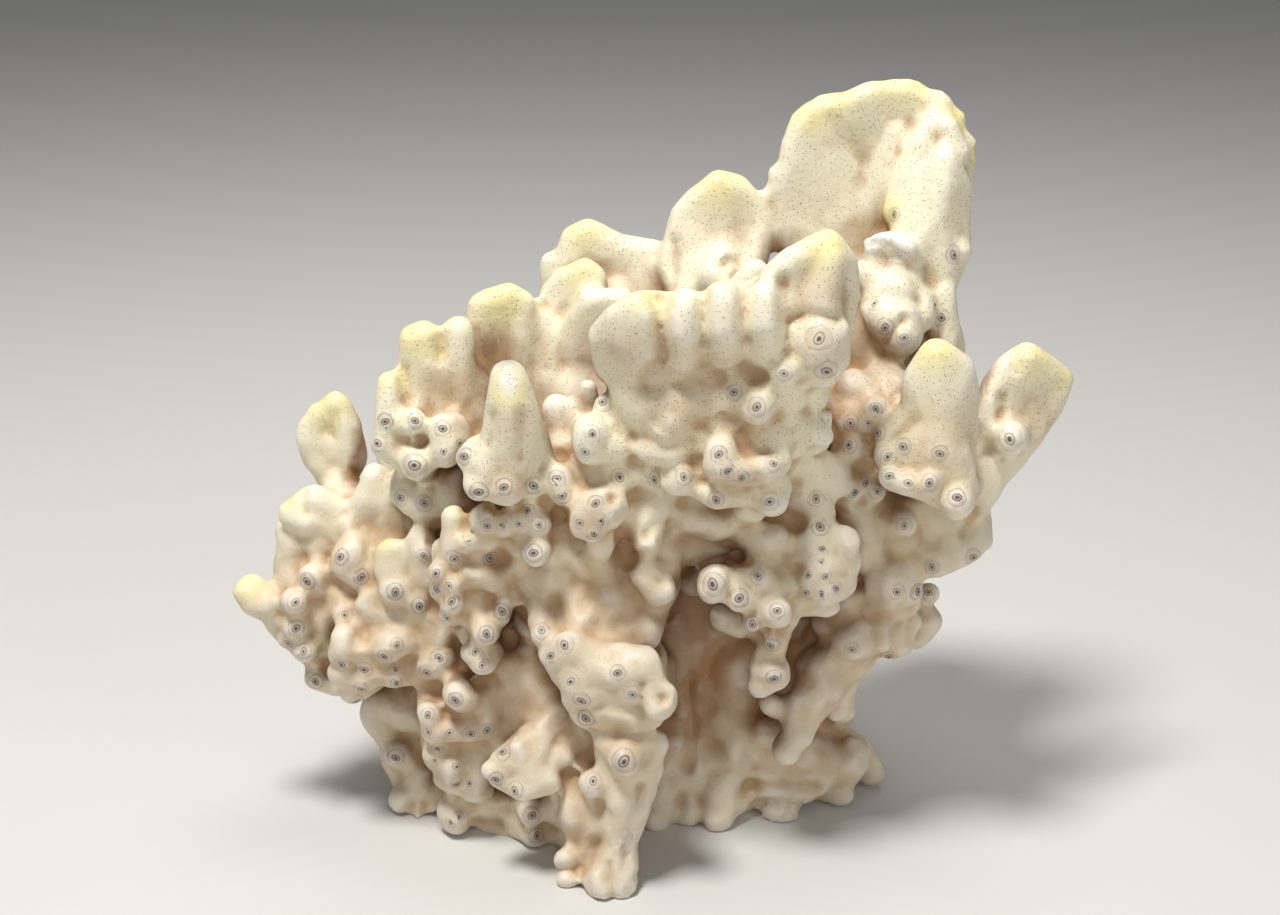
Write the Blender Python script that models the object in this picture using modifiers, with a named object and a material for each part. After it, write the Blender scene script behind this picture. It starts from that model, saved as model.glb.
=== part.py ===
"""A dried colony of fire coral, sawn flat at its foot, as one solid for each main fork.

Every form is a skin over balls: a limb is a chain of balls and a web is a plate
stretched from a hub to a rim of balls. Lengths in the tables are millimetres.

The front of the colony was laid out as it is seen from the eye point below, so a ball
there is (right, up, deep, radius): how far right of the middle and how far above the
lowest toe it appears on the picture plane, and how far back it lies. The back and the
core, which that view doesn't show, are laid out as plain (x, y, z, radius).
"""

import math

import bmesh
import bpy
import numpy as np
from mathutils import Matrix, Vector
from mathutils.bvhtree import BVHTree

MM = 0.001

# The front view: the eye looks down at the aim point from this far away
SIGHT_LENGTH = 500.0
SIGHT_DIP = math.radians(20.0)
AIM_HEIGHT = 95.0
AIM_UP = 111.9

VOXEL = 1.5
SMOOTH_ROUNDS = 3
SMOOTH_SHARE = 0.5
FURROW_ROUNDS = 4
FURROW_STRENGTH = 1.2
FURROW_DEEPEST = 1.4
RIM = 3.8
FILLET = 0.9
GAP = 0.34
# Where the wide room folds over itself at a sharp crease, the narrow one still parts the forks
HAIR = 0.06
SHARPEST = 0.35
FLOOR_CUT_DEPTH = 60.0

SIGHT = Vector((0.0, math.cos(SIGHT_DIP), -math.sin(SIGHT_DIP)))
SIGHT_UP = Vector((0.0, math.sin(SIGHT_DIP), math.cos(SIGHT_DIP)))
EYE = Vector((0.0, 0.0, AIM_HEIGHT)) - SIGHT * SIGHT_LENGTH


def spot(right, up, deep):
    """The point at depth deep that the eye sees at (right, up) of the picture plane."""
    ray = SIGHT * SIGHT_LENGTH + SIGHT_UP * (up - AIM_UP)
    ray.x = right
    return EYE + ray * ((deep - EYE.y) / ray.y)


def seen(ball):
    """A ball of the front view as (centre, radius)."""
    right, up, deep = ball[:3]
    return spot(right, up, deep), ball[3] if len(ball) > 3 else RIM


def placed(ball):
    """A ball given by plain coordinates as (centre, radius)."""
    return Vector(ball[:3]), ball[3] if len(ball) > 3 else RIM


def limb(*balls, read=seen):
    """Links of a chain of balls, each link a pair."""
    chain = [read(ball) for ball in balls]
    return list(zip(chain, chain[1:])) if len(chain) > 1 else [tuple(chain)]


def web(hub, *rim, read=seen):
    """Wedges of a closed plate, each wedge the hub and two neighbours on its rim."""
    centre = read(hub)
    ring = [read(ball) for ball in rim]
    return [(centre, a, b) for a, b in zip(ring, ring[1:] + ring[:1])]


def core(*balls):
    """A limb that is given by plain coordinates."""
    return limb(*balls, read=placed)


def plate(hub, *rim):
    """A web that is given by plain coordinates."""
    return web(hub, *rim, read=placed)


FORKS = {
    "trunk": [
        core((-38, 6, 10, 20), (-10, 4, 10, 23), (20, 8, 10, 23), (42, 14, 8, 17)),
        core((-32, 4, 42, 23), (-5, 8, 44, 22), (16, 15, 42, 23), (36, 12, 42, 20)),
        core((-38, 6, 10, 20), (-32, 4, 42, 23), (-35, 4, 70, 21), (-38, 8, 96, 14)),
        core((20, 8, 10, 22), (16, 15, 42, 23), (18, 16, 76, 23), (16, 12, 106, 20)),
        core((42, 14, 8, 16), (36, 12, 42, 20), (44, 12, 78, 20), (44, 12, 106, 18)),
        core((-35, 4, 70, 21), (-6, 4, 76, 20), (18, 16, 76, 23), (44, 12, 78, 20)),
        core((-38, 8, 96, 14), (-14, 8, 104, 17), (16, 12, 106, 20), (44, 12, 106, 18)),
        core((-14, 8, 104, 17), (-10, 14, 122, 11)),
        core((16, 12, 106, 20), (20, 18, 126, 12)),
        core((44, 12, 106, 18), (50, 16, 126, 12)),
        core((-35, 4, 70, 19), (-62, 2, 70, 11)),
        core((-30, 18, 14, 18), (0, 22, 14, 20), (28, 22, 14, 18)),
        core((-20, 20, 50, 20), (20, 26, 55, 20), (0, 24, 85, 18)),
        core((40, 22, 88, 14), (0, 24, 85, 18), (-38, 16, 84, 14)),
        # toes and broken shelf along the front of the foot
        limb((20, 22.6, -17, 4.4), (22, 31, -9, 8)),
        limb((4, 22.4, -16, 4.4), (5, 32, -8, 9)),
        limb((12, 23, -15, 3.4), (12, 31, -8, 7)),
        limb((34.8, 24, -12, 4.2), (36, 32, -3, 7)),
        limb((49.5, 28.6, -6, 4.2), (45, 33, 0, 7)),
        limb((57.8, 33.6, 4, 3.8), (54, 37.5, 2, 5.4), (46, 38, 4, 9)),
        limb((50.5, 49, -2, 3.8), (48.6, 53.5, -1, 4.4), (42, 58, 2, 9)),
        limb((53, 36.6, -4, 5.6), (49, 32, -5, 5)),
        limb((31, 43.6, -13, 3), (36, 42, -10, 5)),
        # folds in the wall of the hollow
        limb((24, 62, -2, 9), (23, 46, -5, 9), (24, 32, -7, 8)),
        limb((30, 42, -7, 8), (38, 38, -6, 8), (46, 36, -3, 7)),
        limb((31, 31, -11, 5), (40, 31, -9, 6), (46, 32, -5, 6)),
        limb((6, 30, -10, 7), (14, 32, -8, 7)),
        limb((13, 97, -26, 5), (21, 96, -26, 4.6)),
        limb((13, 90, -21, 5), (20, 92, -22, 5)),
        limb((13, 83, -13, 5), (22, 85, -14, 6)),
        # knobs low on the back
        core((-48, 26, 60, 8), (-60, 34, 62, 5.5)),
        core((-25, 32, 56, 9), (-30, 46, 64, 5.5)),
        core((5, 36, 58, 9), (4, 50, 68, 6)),
        core((30, 36, 52, 9), (38, 47, 58, 5.5)),
        core((50, 26, 58, 8), (63, 32, 62, 5.5)),
        core((-40, 24, 22, 9), (-50, 33, 22, 6)),
        core((10, 32, 20, 10), (8, 44, 20, 6.5)),
        core((38, 28, 18, 9), (48, 36, 18, 6)),
        core((-12, 36, 36, 8), (-14, 45, 40, 5)),
        core((24, 38, 34, 8), (27, 46, 38, 5)),
        core((-36, 26, 42, 8), (-42, 35, 42, 5)),
        core((-14, 32, 74, 8), (-17, 43, 80, 5), (-11, 42, 84, 4.4)),
        core((16, 36, 74, 8), (20, 47, 78, 5)),
        core((-26, 24, 98, 8), (-27, 35, 104, 5)),
        core((30, 26, 108, 8), (29, 37, 116, 5)),
        # knobs on the two sides
        core((54, 14, 56, 8), (63, 16, 58, 5)),
        core((44, 16, 30, 12), (50, 19, 33, 7)),
        core((46, 20, 12, 9), (51, 24, 12, 6)),
        core((-50, 8, 34, 9), (-60, 10, 38, 5.6)),
        core((-50, 12, 52, 9), (-61, 17, 55, 5.6)),
        core((-46, 12, 14, 9), (-55, 14, 15, 5.6)),
    ],
    "front_leg": [
        # the leg's broad head, two swellings with a crease between them
        web(
            (-6, 58.5, -42, 6.6),
            (-18, 64.5, -40, 3.9),
            (-10, 62.3, -41, 4.2),
            (0.5, 60.8, -43, 4.8),
            (2, 56, -44, 4.4),
            (-5, 54.5, -44, 4.6),
            (-14.5, 53.5, -41, 4.2),
            (-20, 60.5, -39, 4),
        ),
        limb((-13, 49, -41, 3.8), (-6, 47.8, -44, 4.2), (2, 47.5, -44, 3.8)),
        limb((-16, 52.5, -41, 3.8), (-13, 47.5, -40, 3.6)),
        # the knob with a hollow in its middle
        limb((5.2, 51.3, -46, 4.9), (2, 51, -40, 5)),
        web(
            (-4, 38, -43, 6),
            (-8.6, 40.6, -42, 4),
            (2.6, 40.2, -42, 4.2),
            (2, 34.4, -42, 4.2),
            (-6.8, 33, -43, 4.2),
        ),
        limb((-3.9, 36.2, -46.4, 4.2), (-3.5, 37, -43, 5)),
        limb((-4, 33, -43, 5), (-4.4, 22, -44, 4.5), (-5.4, 14, -45, 4.4)),
        limb((2.6, 35, -42, 3.6), (0.4, 28, -43, 3.8), (-2.2, 20, -44, 3.6), (-3.6, 13, -45, 3.6)),
        limb((-5.4, 14, -45, 4.4), (-9.4, 5.6, -48.6, 5)),
        limb((-5.4, 14, -45, 4.4), (-5.2, 5.4, -47.6, 4.4)),
        limb((-11.8, 30.6, -42.5, 3.5), (-10, 32, -36, 4.6)),
        # two little lumps beside the foot
        limb((-18.6, 11.6, -42.5, 3), (-15, 13.6, -37, 3)),
        limb((-17.8, 6.8, -44, 3), (-14.6, 9, -38, 3)),
        limb((-15, 31, -34, 5), (-14.6, 23, -37, 6), (-13.4, 15, -38, 5.4)),
        limb((-10, 26, -40, 4.6), (-10.4, 15, -41, 5)),
        limb((-12.5, 21, -36, 4.4), (-12, 12, -38, 4.2)),
        limb((-14, 18, -28, 7), (-14, 32, -28, 7), (-6, 50, -32, 9)),
        limb((-17, 41, -30, 5), (-16.4, 33, -30, 5)),
        # the smooth column above the head, and the roll down its left side
        limb((-9, 92, -23, 6.6), (-8.6, 80, -26, 7.4), (-7, 66, -33, 7)),
        limb((0, 92, -20, 6), (1, 80, -22, 6.6), (0, 68, -29, 6)),
        limb((-25, 80.5, -27, 5), (-21, 82.5, -28, 4.8), (-18.5, 80, -28, 4.4)),
        limb((-25.5, 75, -31, 3.4), (-23.5, 69.5, -35, 3.8), (-20.5, 65, -38, 4.2)),
        limb((-16, 79, -27, 6), (-15, 72, -32, 6)),
        limb((-31, 74, -12, 5), (-31, 66, -14, 5)),
        limb((-23.5, 78, -24, 6), (-20, 70, -29, 6), (-15, 64, -35, 5)),
        limb((-23.8, 68, -37, 3.2), (-21, 66, -35, 4)),
        limb((-22, 62.8, -39, 3), (-18, 62, -38, 4)),
        # two oval lumps with slit pits on the column's right side
        limb((2.2, 95.5, -31, 3.5), (1.6, 90.5, -32, 4.1)),
        limb((1.2, 83.4, -32, 3.7), (5, 79.6, -31, 4)),
        limb((4, 103.5, -27, 4.6), (3, 98, -24, 5.4)),
        limb((3, 92, -25, 6), (4, 80, -26, 6)),
        limb((-5, 99, -27, 5.6), (4, 101, -27, 5.6)),
        limb((-3, 108.6, -29.5, 4.6), (4.4, 108.6, -30, 4.6)),
        limb((-21, 96, -28, 4.6), (-20.5, 89, -28, 5), (-15, 88, -27, 5.6), (-10, 84, -27, 6)),
        limb((-5, 60, -30, 9), (-5, 58, -14, 14)),
        limb((-6, 88, -18, 10), (-6, 84, -6, 14)),
        limb((-22, 96, -20, 5.4), (-24, 84, -19, 7), (-24, 72, -18, 8)),
        limb((-29, 88, -24, 5), (-28, 79, -24, 5)),
    ],
    "left_mound": [
        # the pale knob, and the smooth column that it hangs from
        limb((-21.5, 56.5, -24, 4.4), (-20.5, 48.5, -29, 5), (-25, 42, -34, 5)),
        web(
            (-29, 36, -37, 6),
            (-28, 41.2, -36, 3.8),
            (-34.2, 35.8, -38.5, 3.8),
            (-34.6, 32.2, -38, 3.3),
            (-27.5, 30.6, -40, 4),
            (-23.6, 32, -39, 3.8),
            (-23.4, 38, -36, 4.2),
        ),
        limb((-18.6, 37, -37, 2.3), (-19.5, 42, -32, 4)),
        limb((-37, 34.2, -40, 2.4), (-33, 36, -38, 3.6)),
        limb((-30.6, 40.4, -39.5, 2.6), (-26, 29.4, -41, 2.6)),
        limb((-33, 60, -23, 5.6), (-28, 50, -24, 6.4), (-33, 42, -23, 5.4)),
        limb((-28, 62, -23, 5), (-24, 53, -27, 5)),
        limb((-46, 62, -14, 5), (-38, 57, -17, 5)),
        limb((-48, 68, -14, 5), (-46, 60, -14, 5)),
        limb((-39, 54, -23, 5), (-37, 47, -23, 5)),
        limb((-41, 38, -22, 4.8), (-41, 30, -22, 4.8)),
        limb((-21, 50, -24, 7), (-20, 50, -12, 12)),
        # the barnacled arm with a knob over it and a column under it
        limb((-52.5, 47.8, -24, 3.4), (-51.6, 44, -24, 3.7), (-45, 43.6, -25, 3.5), (-38.8, 44.8, -25, 3.7)),
        limb((-53, 52, -18, 3), (-52.5, 47.8, -22, 3.6), (-47, 46, -20, 4)),
        limb((-51, 54, -17, 4), (-46, 49, -20, 4.4), (-40, 48, -18, 5)),
        limb((-45.2, 52.4, -29, 4), (-42, 54, -18, 6)),
        limb((-50.5, 38.6, -22, 3.8), (-50, 42, -20, 4)),
        limb((-46.6, 35, -24, 3.8), (-49, 38, -18, 4.4)),
        limb((-44.2, 30.8, -23, 3.6), (-48.2, 31.4, -21, 3.4)),
        limb((-48, 42, -16, 6), (-46, 33, -18, 5), (-38, 27, -17, 6)),
        limb((-46, 22.4, -20, 4.9), (-44.5, 27, -13, 6)),
        limb((-36, 20.4, -17, 4.6), (-31, 18.8, -18, 4), (-30, 25, -18, 5)),
        # the left foot with its three toes, and the tapering flank above it
        limb((-58.6, 26.4, -9, 4.2), (-54.6, 25.4, -10, 3.8), (-55, 32, -6, 5.4)),
        limb((-59.8, 24.4, -11, 1.9), (-58.6, 28, -8, 2.8)),
        limb((-55.6, 22, -13, 2), (-55.6, 26, -10, 2.8)),
        limb((-52.2, 24.2, -12, 1.8), (-53, 28, -9, 2.8)),
        limb((-61.2, 37.4, -9, 3), (-58, 38, -4, 5)),
        limb((-57.6, 31, -4, 5), (-60.5, 41, -2, 5), (-65.5, 49, -2, 5.2)),
        # the recessed wall between this mound and the leg
        limb((-27, 23.4, -27, 3.8), (-28, 27, -20, 5)),
        limb((-26.4, 18, -26, 3.6), (-31, 23, -18, 5)),
        limb((-19, 25, -26, 6), (-12, 24, -27, 6)),
        limb((-19.5, 34, -28, 5), (-18, 27, -29, 5)),
        limb((-18, 18, -24, 4.6), (-26, 19, -20, 4.6)),
        limb((-48, 44, -12, 8), (-40, 44, 0, 14)),
        limb((-65.5, 49, -2, 5.2), (-50, 52, 2, 12)),
    ],
    "left_fork": [
        # the pointed finger and the knobs along it
        limb((-97.6, 78.2, -8, 4.6), (-93, 75.2, -8, 4.8), (-89, 70.8, -7, 4.2), (-84.6, 65.6, -6, 4)),
        limb((-86.2, 75.8, -14, 3.5), (-85, 73.4, -7, 5)),
        limb((-86.3, 69.4, -13.5, 3.2), (-84.5, 69.4, -6, 5)),
        limb((-84, 63.8, -12.5, 3.8), (-81, 64.4, -5, 5)),
        limb((-88.4, 66.4, -10.5, 2.4), (-85.5, 66, -6, 3.6)),
        limb((-85.4, 79.8, -9, 1.9), (-84.5, 77, -6, 3)),
        limb((-80.8, 57.2, -8, 3.2), (-76.4, 55.6, -8, 3.6), (-72, 60, -4, 6)),
        # the upper left lobe over its stem
        web(
            (-82, 97.4, -1, 5),
            (-86.9, 98, -3, 4.1),
            (-81.8, 101.2, -3, 4.4),
            (-77.4, 99, -3, 4.4),
            (-77.6, 95.2, -4, 4),
            (-83, 96.4, -5, 3.8),
        ),
        limb((-80, 91, -3.5, 4.4), (-79, 86, -2.5, 4.2), (-78, 92, 1, 5)),
        limb((-86.6, 91, -2, 4.4), (-86.8, 86, -2.5, 4.6), (-86.6, 80, -4, 5), (-86, 75, -5, 5)),
        limb((-86.4, 93, 1, 4.6), (-84, 84, 2, 5)),
        limb((-72.5, 95.4, -6, 2.6), (-72, 97, -1, 4)),
        limb((-81.3, 82.2, -10, 3.7), (-80.2, 79.6, -11, 2.7), (-79, 84, -3, 4.4)),
        # the round lobe on top, in two halves with a groove between them
        limb((-80.2, 122.4, 8.5, 3.7), (-82.2, 119, 8.5, 4), (-80.6, 113, 8.5, 4.1), (-76.6, 107, 8, 4.3)),
        limb((-76, 125.2, 9, 3.8), (-73.8, 119.6, 8.5, 3.9), (-72.2, 111.6, 8, 3.9)),
        web(
            (-77.3, 116, 9, 4.4),
            (-77.4, 124, 12, 3.8),
            (-81.4, 119, 12, 3.8),
            (-80.6, 112, 11, 3.8),
            (-76, 106, 9, 4),
            (-72.6, 110, 10, 3.8),
            (-73.4, 119, 12, 3.8),
        ),
        limb((-75.6, 107, 7, 4.6), (-72, 98, 3, 6.6), (-66, 88, 2, 9), (-60, 78, 2, 11)),
        # the smooth face below the mitten
        web(
            (-64, 99.5, -3, 5),
            (-66, 106.6, -3, 3.8),
            (-68.4, 101, -4, 4),
            (-70, 94, -4, 4),
            (-62, 90, -4, 5),
            (-57, 93, -4, 4.5),
            (-60, 101, -3, 4.5),
        ),
        web(
            (-71.6, 86.4, -10, 4.2),
            (-67.6, 89.8, -8, 3.2),
            (-72, 88.8, -10, 3.8),
            (-73.6, 84.4, -10.5, 3.6),
            (-70.2, 82.2, -11, 3.6),
            (-66.6, 84.4, -9, 3.8),
        ),
        limb((-70, 86, -5, 6), (-64, 86, 2, 8)),
        limb((-74.2, 77.6, -10, 3.3), (-74.2, 73.4, -13, 3.5), (-72, 80, -5, 5)),
        # the recessed face with a thin rim along its upper left edge
        limb((-70, 71.6, -15, 1.8), (-69.2, 75.4, -15.5, 1.9), (-66, 78, -15.5, 1.9), (-62.4, 77.6, -15, 2)),
        web(
            (-62, 73, -14.4, 4.6),
            (-67, 75, -14, 3.8),
            (-58, 76, -14.4, 4.4),
            (-50, 71, -16, 5),
            (-52, 64, -16, 5),
            (-60, 67, -15, 5),
            (-68, 70, -14, 4.2),
        ),
        limb((-78.6, 75, -9, 4.2), (-79, 67, -9, 4.2), (-72, 70, -3, 8)),
        # two barnacled rolls low on the left, one above the other
        limb((-74.2, 67.2, -20, 3.5), (-73.8, 63.4, -20.5, 4)),
        limb((-73.6, 64, -20, 3.9), (-68.4, 62.6, -20.5, 3.7), (-63, 64.6, -21.5, 3.9)),
        limb((-63, 64.6, -21.5, 3.9), (-59.6, 66.2, -20, 3.6)),
        limb((-73.6, 58.4, -18.5, 4), (-67, 58, -19.5, 3.8), (-61, 58, -19.5, 3.8)),
        limb((-61, 58, -19.5, 3.8), (-55.6, 58.4, -18, 3.9)),
        limb((-55.6, 58.4, -18, 3.6), (-50.8, 61, -20, 3.9), (-48, 66, -12, 6)),
        limb((-71.8, 54, -16.5, 3.6), (-66.4, 55.4, -15.5, 3.2)),
        limb((-72, 60, -14, 5.6), (-62, 61, -14.5, 5.6), (-53, 61.6, -14, 5.6)),
        limb((-66, 66, -6, 7), (-56, 70, 0, 10)),
    ],
    "knob_cluster": [
        # the small blade with a flat top
        web(
            (-60.6, 84.4, -14, 4.4),
            (-62.6, 88.4, -14, 3.5),
            (-58.6, 88, -14, 3.7),
            (-56, 82.4, -14, 3.8),
            (-55.4, 77.4, -17.5, 3.5),
            (-61.8, 79, -18, 3.6),
            (-63.2, 83.6, -15, 3.4),
        ),
        limb((-54, 87.6, -15, 2), (-53.6, 84, -15, 3)),
        limb((-54, 92, -15, 4), (-52.4, 82, -17, 4.4)),
        limb((-58, 82, -9, 5), (-50, 84, -4, 9)),
        # the finger and the roll along the top
        limb((-46.6, 97, -29, 2.9), (-47, 92, -29, 3.2), (-47, 87.6, -29, 3.6)),
        limb((-39.4, 97, -32, 3.6), (-34.6, 95.2, -33, 3.2)),
        limb((-34.6, 95.2, -33, 3.2), (-30.6, 96.4, -33.5, 3.5), (-26.2, 96, -34, 3.8)),
        limb((-42.8, 91.4, -31, 3), (-38, 93, -29, 4)),
        limb((-37, 94, -27, 5), (-28, 95, -26, 5), (-30, 94, -16, 8)),
        # the broad mass under them
        web(
            (-42, 84, -25, 5.4),
            (-43.5, 90.6, -25, 3.9),
            (-36.5, 90, -25, 4),
            (-34.4, 85, -24, 3.8),
            (-36, 79, -25, 4),
            (-41, 75.5, -26, 4),
            (-46.4, 76.5, -27, 4),
            (-49.6, 82, -27, 3.8),
            (-48.5, 88, -26, 3.6),
        ),
        limb((-42.4, 88.6, -29, 2.6), (-41.8, 83.6, -30, 3.8), (-37, 82, -28, 3.4)),
        limb((-50.6, 83.2, -31.5, 2.7), (-48, 82, -26, 4)),
        limb((-50.7, 79, -31.5, 2.7), (-48, 79, -26, 4)),
        limb((-46.8, 80, -32.5, 2.7), (-46, 80, -27, 4)),
        limb((-46.8, 75.8, -32, 2.8), (-45, 77, -26, 4)),
        limb((-47.4, 72, -31, 2.8), (-44, 73.6, -26, 4)),
        # the drooping fingers under the mass
        limb((-38.6, 68, -32, 3.8), (-40.6, 72.6, -28, 4.4), (-41, 77, -26, 5)),
        limb((-41.6, 63.4, -30, 3), (-39, 60.8, -31, 3.4), (-36.8, 63.4, -29, 3)),
        limb((-39, 60.8, -29, 3.4), (-39.6, 68, -22, 5.4)),
        limb((-34, 75.4, -29, 2.1), (-34.4, 71.8, -30, 2.1), (-37, 76, -25, 4)),
        limb((-26, 88.4, -36, 3.6), (-26.2, 92.6, -32, 4), (-32, 92, -22, 6)),
        limb((-42, 82, -18, 9), (-38, 80, -6, 14)),
    ],
    "middle_knobs": [
        # the ball with a hole in it and a nose under it
        limb((-13.4, 98.6, -36, 5.2), (-8.6, 99.8, -36, 5.6)),
        limb((-15, 95.6, -37, 3.6), (-11.4, 94.6, -37, 3.6)),
        limb((-10, 92, -34, 3.5), (-9.8, 87.4, -31, 2.9), (-9.6, 90, -26, 5)),
        limb((-20.4, 106.6, -33.5, 3.5), (-19.4, 102.4, -33.5, 3.4), (-20, 106, -26, 5)),
        limb((-23.4, 103.6, -29, 3.4), (-20, 104, -26, 5)),
        limb((-14.6, 109.6, -29, 4), (-8, 108.6, -30, 4), (-3.6, 107, -31, 3.8)),
        # the lump with two barnacles and a pale crest
        limb((-12.2, 117.8, -34.5, 4.5), (-12.6, 114, -35, 3.7), (-7.4, 115.4, -32, 5)),
        limb((-8.2, 124.4, -29, 2.9), (-7.4, 119, -30, 4.4)),
        limb((-3.6, 118.8, -28, 4.4), (-7, 114, -28, 5)),
        # the three small fingers behind
        limb((-20.8, 123.6, -16, 4), (-21, 113, -18, 4.4)),
        limb((-16.2, 124, -16, 3.7), (-16.6, 113, -18, 4.4)),
        limb((-21, 113.6, -19.6, 5), (-15, 113, -21, 5)),
        limb((-12.8, 129, -16, 2.6), (-12, 123, -15, 4)),
        limb((-12, 100, -29, 6.6), (-12, 106, -18, 9), (-14, 108, -4, 12)),
        limb((-10, 116, -25, 6), (-12, 112, -8, 10)),
        limb((-20, 117, -12, 4.4), (-16, 112, -8, 8)),
        limb((-22, 110, -20, 4.6), (-22, 116, -12, 5)),
    ],
    "mitten_blade": [
        # the outer fingers and the palm between them
        web(
            (-55.6, 137, -9, 4),
            (-57, 141.4, -9, 3.8),
            (-54.2, 142.4, -9, 3.7),
            (-53.4, 136, -9, 4.2),
            (-55, 128, -9, 4.4),
            (-57, 134, -9, 4),
        ),
        limb((-45.3, 143.4, -8.6, 3.8), (-45, 137, -9, 4.4), (-44, 129, -8, 5)),
        web(
            (-50.5, 129, -8, 4.8),
            (-56.8, 136, -9, 3.8),
            (-53.5, 136, -9.4, 4.2),
            (-50, 134.6, -9, 4.2),
            (-46, 136, -9, 4.2),
            (-41.4, 130, -7, 4.4),
            (-42, 121, -8, 5),
            (-50, 120, -10, 4.6),
            (-55, 127, -10, 4),
            (-57, 134, -9, 3.6),
        ),
        # the pointed finger on the left with the barnacled lumps below it
        limb((-62.8, 131, -13, 2.9), (-62.5, 126, -13.5, 3.5), (-62.4, 120.6, -14.5, 3.7)),
        limb((-62.4, 120.6, -14.5, 3.7), (-63.8, 115, -15.5, 3.7), (-62, 112.8, -16, 3.3)),
        limb((-56.8, 120.8, -18, 3.4), (-60.4, 120.6, -13, 3.8)),
        limb((-59.6, 117, -14.6, 3.8), (-52, 117, -12, 4.6)),
        limb((-46, 105, -12, 6), (-44, 98, -15, 5)),
        web(
            (-48.6, 116.4, -19, 3.8),
            (-49.8, 119.4, -19, 3.3),
            (-46.4, 120.2, -17, 3),
            (-44.8, 116, -17, 3.4),
            (-48.6, 113.4, -20, 3.5),
        ),
        limb((-56, 110.2, -19.5, 4.2), (-53.4, 110.8, -13, 4.8), (-60, 111.6, -13, 3.4)),
        # the cone under them and the smooth face below its lip
        web(
            (-54, 103.4, -11, 5),
            (-58.4, 107, -9, 3.8),
            (-48, 108, -9, 5),
            (-44, 102, -8, 5),
            (-49.6, 99.6, -13, 3.4),
            (-55, 99.6, -14, 3.4),
            (-59, 102.4, -11, 3.2),
        ),
        limb((-54, 95, -7, 5), (-48, 96, -6, 6), (-54, 88, -5, 5)),
        limb((-58, 115, -6, 5), (-50, 108, -3, 7)),
        limb((-48, 118, -8, 6), (-46, 106, -2, 8), (-42, 100, 4, 10)),
    ],
    "middle_blades": [
        web(
            (-34, 137, 4, 4.6),
            (-39.2, 149.4, 3),
            (-37, 150.6, 3),
            (-32.5, 152, 3),
            (-29.6, 150.5, 3),
            (-29.7, 142, 2),
            (-30, 132, 1, 4.5),
            (-28, 122, -2, 5),
            (-36, 118, -2, 6),
            (-42, 125, 0, 5),
            (-41, 138, 2, 4.5),
        ),
        web(
            (-17, 143, 10, 5),
            (-19, 156.6, 10),
            (-14, 158.5, 10),
            (-11.7, 156.5, 10),
            (-11, 148, 9, 4),
            (-10, 135, 6, 5),
            (-12, 122, 2, 6),
            (-22, 120, 2, 6),
            (-24, 135, 6, 5),
            (-22.5, 147, 9, 4.2),
            (-21.5, 153, 10),
        ),
        web(
            (-11.6, 143, 3, 4.4),
            (-15, 146, 3, 3.6),
            (-12, 150.6, 2, 3.6),
            (-5, 151, 2, 3.6),
            (-5, 138, 2, 4),
            (-13, 131, 3, 5),
            (-15.6, 139, 3, 4),
        ),
        limb((-24.6, 146, 5, 3), (-24, 136, 3, 4.4), (-24, 126, 0, 5)),
        limb((-34, 124, 0, 7), (-30, 112, 6, 11)),
        limb((-17, 126, 5, 8), (-16, 112, 8, 12)),
    ],
    "front_thumb": [
        limb((-33.2, 131.8, -36, 4.6), (-32.6, 126, -36, 5.9), (-31.8, 119.6, -35, 7.4)),
        limb((-31.8, 119.6, -35, 7.4), (-32, 113, -34, 7.6), (-34, 108, -34, 6.4)),
        limb((-26, 113, -31, 4.4), (-28, 118, -33, 5)),
        limb((-38, 109.6, -37, 4.6), (-35, 113, -35, 6)),
        limb((-40.4, 105.2, -38, 3.9), (-40, 109, -36, 4), (-35, 112, -33, 6)),
        limb((-33.6, 104.2, -38.5, 4.4), (-34, 110, -34, 6)),
        limb((-27.4, 105, -35.5, 3.5), (-29, 110, -32, 5)),
        limb((-43, 111.6, -34, 2.9), (-39.6, 112.6, -32, 5)),
        limb((-34, 112, -28, 7), (-32, 110, -14, 9), (-30, 106, 0, 12)),
    ],
    "back_ridge": [
        limb((-21.3, 160.3, 24, 3.5), (-20.5, 152, 24, 4.2), (-17, 140, 20, 6)),
        web(
            (-8, 157, 24, 5),
            (-16.5, 166.4, 24),
            (-13, 168, 24),
            (-9.5, 166, 24),
            (-6, 163.8, 24),
            (4, 163, 23),
            (6, 156, 21, 5),
            (0, 145, 18, 6),
            (-14, 145, 18, 6),
            (-18.5, 156, 22, 4.5),
        ),
        web(
            (20, 168, 20, 5),
            (11.2, 172.3, 20),
            (14.5, 176.3, 20),
            (19.5, 180.2, 20),
            (24, 178.5, 20),
            (27.5, 175, 20),
            (29.6, 170, 19),
            (28, 163, 17, 4.5),
            (24, 154, 13, 6),
            (12, 153, 13, 6),
            (8.5, 160, 17, 5),
        ),
        limb((29, 158.5, 0, 3.5), (26, 152, 0, 5), (22, 145, 6, 8)),
        limb((20.6, 161, 11, 3.6), (19, 157, 10, 5)),
        limb((-6, 150, 19, 7), (-4, 132, 18, 10)),
        limb((18, 156, 14, 7), (18, 140, 14, 10)),
        core((-12, 46, 104, 6), (4, 50, 112, 6), (18, 46, 106, 6)),
    ],
    "front_blade": [
        # the sheet behind the flutes, and the four flutes
        web(
            (12, 143, -28, 4.4),
            (-9.4, 142.4, -31, 3.6),
            (-5.6, 146.8, -33, 3.6),
            (1, 150.6, -34, 3.4),
            (12, 150, -33, 3.4),
            (20, 150.6, -33, 3.4),
            (28, 151.6, -33, 3.4),
            (35, 156, -33),
            (36, 145, -31, 4.2),
            (27, 135, -28, 4.6),
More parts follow.
